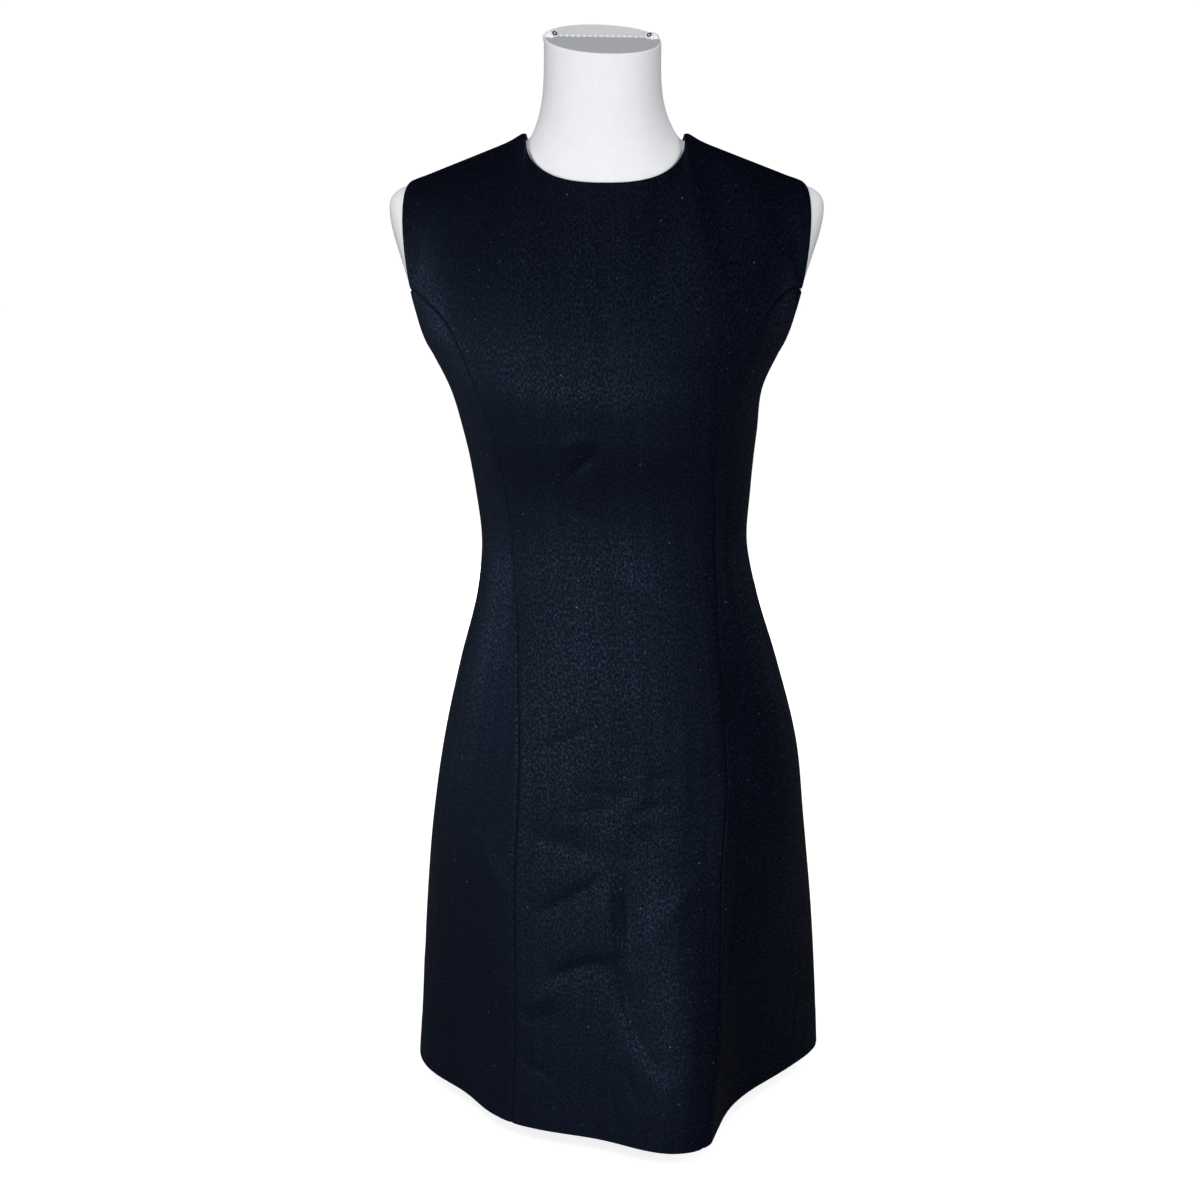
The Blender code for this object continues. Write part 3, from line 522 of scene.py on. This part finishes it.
def panel_points(face, limits, top_level, corner):
    """Rows of points over one panel, seen from outside: left to right, and hem to top."""
    run = SKIRT_RUN + BODICE_RUN * (top_level - 1)
    place = edged_steps(run) * run
    levels = np.where(place < SKIRT_RUN, place / SKIRT_RUN, 1 + (place - SKIRT_RUN) / BODICE_RUN)
    sampled = np.linspace(0, top_level, LEVEL_SAMPLES)
    across = edged_steps(max(row_width(face, limits, level) for level in sampled))
    for stop in corner:                           # a column runs to each corner of the neckline
        across[np.argmin(np.abs(across - stop))] = stop
    rows = []
    for level in levels:
        first, last = limits(level)
        inset = SEAM_GAP / 2 / max(row_width(face, limits, level), LEAST_WIDTH)
        place = inset + across * (1 - 2 * inset)
        rows.append(dress_row(face, first + (last - first) * place, level))
    return np.array(rows)


def soft_step(away, reach, softness):
    """1 within a reach and 0 beyond it, fading over a share of it on both sides."""
    return 1 - ease_in((away - reach * (1 - softness)) / (reach * (2 * softness)))


def cloth_lift(face, points, across, up):
    """How far creases, hem and seams carry the outer face off the plain dress."""
    lift = crease_depth(face, points) + HEM_LIFT * soft_step(up, HEM_DEPTH, HEM_SOFTNESS)
    for away in (across, across[:, -1:] - across):
        lift += ALLOWANCE_LIFT * soft_step(away, ALLOWANCE, ALLOWANCE_SOFTNESS)
        lift -= SEAM_ROLL * np.exp(-(away / SEAM_ROLL_WIDTH) ** 2)
    return lift


def round_edges(made, width, segments, angle):
    """Bevels the edges of the active piece that turn by more than an angle in degrees."""
    bevel = made.modifiers.new("rounded_edges", "BEVEL")
    bevel.width = width
    bevel.segments = segments
    bevel.limit_method = "ANGLE"
    bevel.angle_limit = radians(angle)
    bpy.ops.object.modifier_apply(modifier="rounded_edges")


def lay_panel(node, face, limits, top_level=2.0, corner=()):
    """One lined panel, with its flat pattern in metres as its UV map."""
    points = panel_points(face, limits, top_level, corner)
    across, up = along_rows(points), up_from_hem(points)
    lift = cloth_lift(face, points, across, up)
    points = points + grid_normals(points) * lift[..., None]

    rows, cols = points.shape[:2]
    bpy.ops.object.select_all(action="DESELECT")
    bpy.ops.mesh.primitive_grid_add(x_subdivisions=cols - 1, y_subdivisions=rows - 1, size=1)
    made = bpy.context.object
    made.name = made.data.name = "wool_" + node
    made.data.vertices.foreach_set("co", points.reshape(-1))
    pattern = np.stack((across - across[:, cols // 2][:, None], up), axis=-1).reshape(-1, 2)
    loop_verts = np.empty(len(made.data.loops), dtype=np.int32)
    made.data.loops.foreach_get("vertex_index", loop_verts)
    made.data.uv_layers.active.data.foreach_set("uv", pattern[loop_verts].reshape(-1))
    # Painted shade: a value that darkens the wool's colour along each sewn edge.
    painted_seam_shade = np.exp(-(np.minimum(across, across[:, -1:] - across) / PAINTED_SEAM_SHADE_WIDTH) ** 2)
    shading = made.data.attributes.new("painted_seam_shade", "FLOAT", "POINT")
    shading.data.foreach_set("value", painted_seam_shade.reshape(-1))
    made.data.materials.append(WOOL)
    made.data.materials.append(LINING)

    wall = made.modifiers.new("lining", "SOLIDIFY")
    wall.thickness = CLOTH
    wall.offset = -1
    wall.material_offset = 1
    bpy.ops.object.modifier_apply(modifier="lining")
    round_edges(made, 0.0005, 2, 60)
    made.data.shade_smooth()
    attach(made, "dress_on_form")
    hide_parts(node)
    upward = points[1:, :-1] - points[:-1, :-1]
    sideways = points[:-1, 1:] - points[:-1, :-1]


def centre_limits(level):
    return seam_share(level, -1), seam_share(level, 1)


def minus_side_limits(level):
    return -1.0, seam_share(level, -1)


def plus_side_limits(level):
    return seam_share(level, 1), 1.0


def minus_back_limits(level):
    return 0.0, -1.0


def plus_back_limits(level):
    return 1.0, 0.0


NECK_COLUMN = (1 - NECK_SHARE) / 2
SIDE_TOP_LEVEL = 1.385
lay_panel("front_centre", FRONT, centre_limits, corner=(NECK_COLUMN, 1 - NECK_COLUMN))
lay_panel("front_side_minus_x", FRONT, minus_side_limits, SIDE_TOP_LEVEL)
lay_panel("front_side_plus_x", FRONT, plus_side_limits, SIDE_TOP_LEVEL)
lay_panel("back_minus_x", BACK, minus_back_limits, corner=(NECK_SHARE,))
lay_panel("back_plus_x", BACK, plus_back_limits, corner=(1 - NECK_SHARE,))


# ---- Form ------------------------------------------------------------------------------
# The form is a moulded torso without limbs, under white cotton jersey that is drawn tight and
# turned over the rim of the neck. The torso's mesh is the solid's own, merged and subdivided.
NECK_CENTRE = Vector((-0.0097, 0.0, 1.0565))
NECK_UP = Vector((0.042, -0.338, 1.0)).normalized()         # square to the slanted end of the neck
RIM_RISE = 0.0032              # how far the padded rim stands above the middle of the neck's end
RIM_SLANT = 0.042              # and how much steeper it is
FLAT_END = 0.98                # a face turned this far towards an end's own direction belongs to it
NECK_END_ABOVE = 1.02
FOOT_BELOW = 0.32
RIM_CENTRE = NECK_CENTRE + Vector((0, 0, RIM_RISE))
# The padded rim, step by step: how far each step rises and how much it narrows.
RIM_STEPS = ((RIM_RISE * 0.75, 1.0), (RIM_RISE * 0.25, 0.990), (0.0, 0.985), (-0.0022, 1.0))
MERGE_DISTANCE = 0.00002


def copy_of_node(node, name):
    """A merged copy of a CAD node's mesh, to be finished as a piece of its own."""
    bpy.ops.object.select_all(action="DESELECT")
    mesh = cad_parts[node].data.copy()
    mesh.materials.clear()
    mesh.name = name
    made = bpy.data.objects.new(name, mesh)
    bpy.context.scene.collection.objects.link(made)
    bpy.context.view_layer.objects.active = made
    made.select_set(True)
    bpy.ops.object.mode_set(mode="EDIT")
    bpy.ops.mesh.select_all(action="SELECT")
    bpy.ops.mesh.remove_doubles(threshold=MERGE_DISTANCE)
    bpy.ops.mesh.tris_convert_to_quads(face_threshold=radians(50), shape_threshold=radians(60))
    bpy.ops.object.mode_set(mode="OBJECT")
    return made


def finish(made, slot, material, *nodes, body="dress_on_form"):
    """Gives a piece its material and its body, and hides the nodes it stands for; the slot is not used."""
    made.data.materials.append(material)
    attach(made, body)
    if nodes:
        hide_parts(*nodes)


def white_jersey():
    jersey = Finish("white_jersey", Roughness=0.85)
    place = jersey.node("ShaderNodeTexCoord", output=3)
    drawn = jersey.node("ShaderNodeMapping", {}, {"Vector": place, "Scale": (1.0, 1.0, 0.12)})
    wale = jersey.node("ShaderNodeTexNoise", {}, {"Vector": drawn, "Scale": 620.0, "Detail": 1.0})
    loops = jersey.node("ShaderNodeTexNoise", {}, {"Vector": place, "Scale": 900.0, "Detail": 1.0})
    cloud = jersey.node("ShaderNodeTexNoise", {}, {"Vector": place, "Scale": 60.0, "Detail": 3.0})
    thin = wale * 0.5 + loops * 0.3 + cloud * 0.5 - 0.15
    colour = jersey.node("ShaderNodeMix", {"data_type": "RGBA"}, {
        "Factor": thin, "A": (0.80, 0.815, 0.85, 1), "B": (0.93, 0.93, 0.945, 1)}, 2)
    jersey.feed("Base Color", colour)
    bump = jersey.node("ShaderNodeBump", {}, {"Strength": 0.5, "Distance": 0.0002,
                                              "Height": wale + loops})
    jersey.feed("Normal", bump)
    return jersey.material


JERSEY = white_jersey()
torso = copy_of_node("form_torso", "form_jersey")
bpy.ops.object.mode_set(mode="EDIT")
bpy.ops.mesh.select_mode(type="FACE")
bpy.ops.mesh.select_all(action="DESELECT")
bpy.ops.object.mode_set(mode="OBJECT")
for face in torso.data.polygons:
    at_neck = face.normal.dot(NECK_UP) > FLAT_END and face.center.z > NECK_END_ABOVE
    at_foot = face.normal.z < -FLAT_END and face.center.z < FOOT_BELOW
    face.select = at_neck or at_foot
bpy.ops.object.mode_set(mode="EDIT")
bpy.ops.mesh.delete(type="FACE")
bpy.ops.mesh.select_mode(type="EDGE")
bpy.ops.mesh.select_non_manifold()
bpy.ops.object.mode_set(mode="OBJECT")
for vert in torso.data.vertices:
    vert.select = vert.select and vert.co.z > NECK_END_ABOVE
for edge in torso.data.edges:
    edge.select = all(torso.data.vertices[index].select for index in edge.vertices) and edge.select
wall_verts = len(torso.data.vertices)
bpy.ops.object.mode_set(mode="EDIT")
for rise, share in RIM_STEPS:
    bpy.ops.mesh.extrude_region_move(TRANSFORM_OT_translate={"value": (0, 0, rise)})
    bpy.ops.transform.resize(value=(share, share, share), center_override=RIM_CENTRE)
bpy.ops.object.mode_set(mode="OBJECT")
for vert in torso.data.vertices[wall_verts:]:
    vert.co.z += RIM_SLANT * (vert.co.y - NECK_CENTRE.y)
smooth = torso.modifiers.new("smooth", "SUBSURF")
smooth.levels = smooth.render_levels = 2
bpy.ops.object.modifier_apply(modifier="smooth")
bpy.ops.object.mode_set(mode="EDIT")
bpy.ops.mesh.select_all(action="DESELECT")
bpy.ops.mesh.select_mode(type="EDGE")
bpy.ops.mesh.select_non_manifold()
bpy.ops.mesh.fill_holes(sides=0)
bpy.ops.object.mode_set(mode="OBJECT")
bpy.ops.object.shade_smooth_by_angle(angle=radians(50))
finish(torso, "form_jersey", JERSEY, "form_torso")


# ---- Grey neck line --------------------------------------------------------------------
# A thin pale grey roll lies just below both sides of the front neckline, a cloth's thickness
# inside the wool's face, and it runs out under the wool at the middle.
GREY_LINE_ROLL = 0.0008
GREY_LINE_DROP = 0.0007           # how far its edge lies below the neckline's
GREY_LINE_START = 0.395           # shares of the neckline between which it shows
GREY_LINE_END = 0.16
GREY_LINE_POINTS = 40
SIDES = ((-1, "minus_x"), (1, "plus_x"))


def grey_line_cloth():
    cloth = Finish("grey_line_cloth", Roughness=0.8)
    place = cloth.node("ShaderNodeTexCoord", output=3)
    weave = cloth.node("ShaderNodeTexNoise", {}, {"Vector": place, "Scale": 900.0, "Detail": 1.0})
    colour = cloth.node("ShaderNodeMix", {"data_type": "RGBA"}, {
        "Factor": weave, "A": (0.16, 0.165, 0.18, 1), "B": (0.34, 0.35, 0.37, 1)}, 2)
    cloth.feed("Base Color", colour)
    return cloth.material


GREY_LINE_CLOTH = grey_line_cloth()
for side, name in SIDES:
    line = top_edge(FRONT, side * np.linspace(GREY_LINE_START, GREY_LINE_END, GREY_LINE_POINTS))
    inward = np.array(NECK_POINT) - line
    inward[:, 2] = 0
    line += inward / np.linalg.norm(inward, axis=1)[:, None] * CLOTH
    line[:, 2] -= GREY_LINE_DROP
    bpy.ops.object.select_all(action="DESELECT")
    path = bpy.data.curves.new("neck_grey_line_" + name, "CURVE")
    path.dimensions = "3D"
    path.bevel_depth = GREY_LINE_ROLL
    path.bevel_resolution = 2
    path.use_fill_caps = True
    spline = path.splines.new("POLY")
    spline.points.add(len(line) - 1)
    thickness = np.interp(np.linspace(0, 1, len(line)), (0, 0.15, 1), (0.2, 1, 0.3))
    for point, spot, radius in zip(spline.points, line, thickness):
        point.co = (*spot, 1)
        point.radius = radius
    grey_line_piece = bpy.data.objects.new("neck_grey_line_" + name, path)
    bpy.context.scene.collection.objects.link(grey_line_piece)
    bpy.context.view_layer.objects.active = grey_line_piece
    grey_line_piece.select_set(True)
    bpy.ops.object.convert(target="MESH")
    grey_line_piece = bpy.context.object
    grey_line_piece.data.shade_smooth()
    finish(grey_line_piece, "wool", GREY_LINE_CLOTH)


# ---- Neck cap --------------------------------------------------------------------------
# A flat oval end set in the rim of the neck, covered with two pieces of grey cloth. They meet
# in a seam sewn with white thread, between two eyelets where the jersey is gathered and tied.
CAP_HALF_WIDTH = 0.0538
CAP_HALF_DEPTH = 0.0576
CAP_THICKNESS = 0.0024
CAP_SEAM = 0.0085              # how far behind the middle the two pieces meet
SEAM_DIP = 0.0003
SEAM_HALF_WIDTH = 0.0016       # the dip's, to each side of the seam
ON_SEAM = 0.0005               # a point this close to the seam is on it
STITCH_PITCH = 0.0054
STITCH_COUNT = 15
STITCH_SIZE = Vector((0.0017, 0.0011, 0.0010))
STITCH_SHIFT = 0.0010          # how far the thread lies before the seam, and stands over it
STITCH_STAND = 0.0005
TUFT_REACH = 0.0475
TUFT_SIZE = Vector((0.0068, 0.0076, 0.0062))
TUFT_SINK = 0.0018
GATHER_COUNT = 7
GATHER_DEPTH = 0.10            # these three, and the dimple's place, are shares of the tuft
DIMPLE_DEPTH = 0.45
DIMPLE_WIDTH = 0.45
EYELET_REACH = 0.0440
EYELET_RADIUS = 0.0019
EYELET_WIRE = 0.0006
EYELET_SHIFT = 0.0040
EYELET_STAND = 0.0032
CAP_SINK = 0.0004              # how far the cap lies below the middle of the rim
CAP_UP = Vector((0.042, -0.338 - RIM_SLANT, 1.0)).normalized()
CAP_TILT = CAP_UP.to_track_quat("Z", "Y").to_euler()
CAP_TOP = RIM_CENTRE - CAP_UP * CAP_SINK
CAP_ACROSS = CAP_TILT.to_matrix() @ Vector((1, 0, 0))
CAP_BACK = CAP_TILT.to_matrix() @ Vector((0, 1, 0))


def cap_cloth(name, base):
    cloth = Finish(name, Roughness=0.8)
    place = cloth.node("ShaderNodeTexCoord", output=3)
    weave = cloth.node("ShaderNodeTexNoise", {}, {"Vector": place, "Scale": 800.0, "Detail": 2.0})
    dark = tuple(0.90 * channel for channel in base) + (1,)
    pale = tuple(1.05 * channel for channel in base) + (1,)
    colour = cloth.node("ShaderNodeMix", {"data_type": "RGBA"}, {"Factor": weave, "A": dark, "B": pale}, 2)
    cloth.feed("Base Color", colour)
    bump = cloth.node("ShaderNodeBump", {}, {"Strength": 0.5, "Distance": 0.0002, "Height": weave})
    cloth.feed("Normal", bump)
    return cloth.material


bpy.ops.object.select_all(action="DESELECT")
bpy.ops.mesh.primitive_cylinder_add(vertices=128, radius=1, depth=1)
cap = bpy.context.object
cap.name = cap.data.name = "neck_cap_cloth"
cap.scale = (CAP_HALF_WIDTH, CAP_HALF_DEPTH, CAP_THICKNESS)
bpy.ops.object.transform_apply(location=True, rotation=True, scale=True)
bpy.ops.object.mode_set(mode="EDIT")
for offset in (-SEAM_HALF_WIDTH, 0, SEAM_HALF_WIDTH):
    bpy.ops.mesh.select_all(action="SELECT")
    bpy.ops.mesh.bisect(plane_co=(0, CAP_SEAM + offset, 0), plane_no=(0, 1, 0))
bpy.ops.object.mode_set(mode="OBJECT")
for vert in cap.data.vertices:
    if vert.co.z > 0 and abs(vert.co.y - CAP_SEAM) < ON_SEAM:
        vert.co.z -= SEAM_DIP
# The cap's cloth is grey; the front piece is painted darker as shade, and the back piece paler as light
# from above.
finish(cap, "cap_cloth", cap_cloth("cap_cloth_painted_shade", (0.54, 0.555, 0.585)), "form_neck_cap")
cap.data.materials.append(cap_cloth("cap_cloth_painted_light", (0.90, 0.915, 0.95)))
for face in cap.data.polygons:
    face.material_index = 1 if face.center.y > CAP_SEAM else 0
cap.location = CAP_TOP - CAP_UP * CAP_THICKNESS / 2
cap.rotation_euler = CAP_TILT
bpy.ops.object.transform_apply(location=True, rotation=True, scale=True)

stitches = []
for count in range(STITCH_COUNT):
    bpy.ops.object.select_all(action="DESELECT")
    across = (count - (STITCH_COUNT - 1) / 2) * STITCH_PITCH
    bpy.ops.mesh.primitive_uv_sphere_add(
        segments=12, ring_count=8, radius=1, rotation=CAP_TILT,
        location=(CAP_TOP + CAP_ACROSS * across + CAP_BACK * (CAP_SEAM - STITCH_SHIFT)
                  + CAP_UP * STITCH_STAND))
    bpy.context.object.scale = STITCH_SIZE
    bpy.ops.object.transform_apply(location=True, rotation=True, scale=True)
    stitches.append(bpy.context.object)
for made in stitches:
    made.select_set(True)
bpy.ops.object.join()
thread = bpy.context.object
thread.name = thread.data.name = "cap_stitches"
thread.data.shade_smooth()
finish(thread, "form_jersey", JERSEY)


def plated_metal():
    metal = Finish("plated_metal", Metallic=0.9)
    metal.shader.inputs["Base Color"].default_value = (0.055, 0.057, 0.065, 1)
    place = metal.node("ShaderNodeTexCoord", output=3)
    wear = metal.node("ShaderNodeTexNoise", {}, {"Vector": place, "Scale": 900.0, "Detail": 3.0})
    metal.feed("Roughness", wear * 0.3 + 0.2)
    return metal.material


METAL = plated_metal()
for side, name in SIDES:
    bpy.ops.object.select_all(action="DESELECT")
    bpy.ops.mesh.primitive_uv_sphere_add(segments=40, ring_count=20, radius=1)
    tuft = bpy.context.object
    tuft.name = tuft.data.name = "jersey_tuft_" + name
    for vert in tuft.data.vertices:           # gathers that run in to the eyelet
        turn = np.arctan2(vert.co.y, vert.co.x)
        flat = np.hypot(vert.co.x, vert.co.y)
        vert.co *= 1 + GATHER_DEPTH * flat * sin(GATHER_COUNT * turn + side)
        from_dimple = np.hypot(vert.co.x + 0.6 * side, vert.co.y + 0.1)
        vert.co.z -= DIMPLE_DEPTH * max(0.0, 1 - from_dimple / DIMPLE_WIDTH)
    tuft.scale = TUFT_SIZE
    tuft.rotation_euler = CAP_TILT
    tuft.location = CAP_TOP + CAP_ACROSS * TUFT_REACH * side + CAP_BACK * CAP_SEAM - CAP_UP * TUFT_SINK
    bpy.ops.object.transform_apply(location=True, rotation=True, scale=True)
    tuft.data.shade_smooth()
    finish(tuft, "form_jersey", JERSEY)
    bpy.ops.object.select_all(action="DESELECT")
    bpy.ops.mesh.primitive_torus_add(
        major_radius=EYELET_RADIUS, minor_radius=EYELET_WIRE, major_segments=28, minor_segments=10,
        rotation=Vector((-0.35 * side, -0.75, 0.75)).to_track_quat("Z", "Y").to_euler(),
        location=(CAP_TOP + CAP_ACROSS * EYELET_REACH * side + CAP_BACK * (CAP_SEAM - EYELET_SHIFT)
                  + CAP_UP * EYELET_STAND))
    eyelet = bpy.context.object
    bpy.ops.object.transform_apply(location=True, rotation=True, scale=True)
    eyelet.name = eyelet.data.name = "eyelet_" + name
    eyelet.data.shade_smooth()
    finish(eyelet, "zip_metal", METAL)


# ---- Zip -------------------------------------------------------------------------------
# A concealed zip closes the back seam, so only its slider and pull tab show, at the top of the
# seam. Both are cast and plated; the tab swings on the slider's bridge.
for node, body in (("zip_slider", "dress_on_form"), ("zip_pull", "zip_pull_body")):
    cast = copy_of_node(node, node + "_cast")
    round_edges(cast, 0.00025, 2, 40)
    bpy.ops.object.shade_smooth_by_angle(angle=radians(40))
    finish(cast, "zip_metal", METAL, node, body=body)


# ---- Stand -----------------------------------------------------------------------------
# The form stands on a steel tube between two flanges, screwed to a round plate. All of it is
# powder coated white.
def powder_coat():
    coat = Finish("powder_coat")
    coat.shader.inputs["Base Color"].default_value = (0.80, 0.80, 0.80, 1)
    place = coat.node("ShaderNodeTexCoord", output=3)
    peel = coat.node("ShaderNodeTexNoise", {}, {"Vector": place, "Scale": 1400.0, "Detail": 2.0})
    coat.feed("Roughness", peel * 0.2 + 0.35)
    bump = coat.node("ShaderNodeBump", {}, {"Strength": 0.3, "Distance": 0.0001, "Height": peel})
    coat.feed("Normal", bump)
    return coat.material


COAT = powder_coat()
for node in ("stand_pole", "base_plate"):
    turned = copy_of_node(node, node + "_coated")
    round_edges(turned, 0.0008, 3, 40)
    bpy.ops.object.shade_smooth_by_angle(angle=radians(35))
    finish(turned, "stand_paint", COAT, node)


# ---- Stage -----------------------------------------------------------------------------
# A broad white floor that runs out into a white studio. The floor and the studio look white
# to the camera but throw little light back, as between black flags, so the wool stays dark.
FLOOR_RADIUS = 30
STUDIO_FILL = 0.38             # the studio's strength on matt surfaces, over what all rays get
STUDIO_LEAST = 0.01
CAMERA_DIP = 12.75             # degrees that the camera looks down


def white_floor():
    paper = Finish("white_floor", Roughness=0.9)
    paper.shader.inputs["Base Color"].default_value = (0.75, 0.75, 0.75, 1)
    paper.shader.inputs["Emission Color"].default_value = (1, 1, 1, 1)
    paper.shader.inputs["Emission Strength"].default_value = 0.75
    flag = paper.node("ShaderNodeBsdfDiffuse", {}, {"Color": (0.13, 0.13, 0.13, 1)})
    seen = paper.node("ShaderNodeLightPath")
    surface = paper.node("ShaderNodeMixShader", {}, [seen, flag, Value(paper, paper.shader.outputs[0])])
    paper.links.new(surface.socket, paper.nodes["Material Output"].inputs["Surface"])
    return paper.material


bpy.ops.object.select_all(action="DESELECT")
bpy.ops.mesh.primitive_circle_add(vertices=96, radius=FLOOR_RADIUS, fill_type="NGON")
floor = bpy.context.object
floor.name = "stage_floor"
floor.data.materials.append(white_floor())


def soft_light(name, place, aim, size, watts, colour=(1, 1, 1)):
    lamp = bpy.data.lights.new(name, "AREA")
    lamp.shape = "RECTANGLE"
    lamp.size, lamp.size_y = size
    lamp.energy = watts
    lamp.color = colour
    made = bpy.data.objects.new(name, lamp)
    made.location = place
    made.rotation_euler = (Vector(aim) - Vector(place)).to_track_quat("-Z", "Y").to_euler()
    bpy.context.scene.collection.objects.link(made)
    return made


soft_light("key", (-0.90, -2.6, 0.50), (0, 0, 0.5), (3.0, 0.7), 47)
soft_light("back", (-0.10, 2.8, 0.50), (0, 0, 0.5), (0.7, 0.7), 26)
overhead = soft_light("overhead", (-0.30, -1.9, 2.5), (0, 0, 0.8), (1.4, 0.8), 16)
fill = soft_light("fill", (2.2, -0.8, 1.0), (0, 0, 0.8), (1.2, 1.2), 11)
for lamp in (overhead, fill):                    # they light the form, and add no sheen
    lamp.visible_glossy = False
upper = soft_light("upper", (-0.10, -1.9, 2.4), (0, 0, 0.8), (1.8, 0.8), 7)
window = soft_light("window", (-1.9, 0.1, 0.80), (0, 0, 0.6), (0.8, 0.9), 10, (0.6, 0.8, 1.0))
rim = soft_light("rim", (1.9, 0.8, 0.80), (0, 0, 0.7), (0.4, 0.9), 1.5, (0.5, 0.75, 1.0))
for lamp in (upper, window, rim):                # seen only as sheen on the wool
    lamp.visible_diffuse = False

world = bpy.data.worlds.new("studio")
world.use_nodes = True
studio = world.node_tree.nodes["Background"]
ray = world.node_tree.nodes.new("ShaderNodeLightPath")
lit = world.node_tree.nodes.new("ShaderNodeMath")
lit.operation = "MULTIPLY_ADD"
lit.inputs[1].default_value = STUDIO_FILL
lit.inputs[2].default_value = STUDIO_LEAST
world.node_tree.links.new(ray.outputs["Is Diffuse Ray"], lit.inputs[0])
seen = world.node_tree.nodes.new("ShaderNodeMath")
world.node_tree.links.new(lit.outputs[0], seen.inputs[0])
world.node_tree.links.new(ray.outputs["Is Camera Ray"], seen.inputs[1])
world.node_tree.links.new(seen.outputs[0], studio.inputs["Strength"])
studio.inputs["Color"].default_value = (1, 1, 1, 1)
bpy.context.scene.world = world
bpy.context.scene.view_settings.view_transform = "Standard"

lens = bpy.data.cameras.new("camera")
lens.sensor_width = 36
lens.lens = 44.4
lens.clip_start = 0.02
camera = bpy.data.objects.new("camera", lens)
camera.location = (-0.012, -1.45, 0.855)
camera.rotation_euler = Euler((radians(90 - CAMERA_DIP), 0, 0))
bpy.context.scene.collection.objects.link(camera)
bpy.context.scene.camera = camera
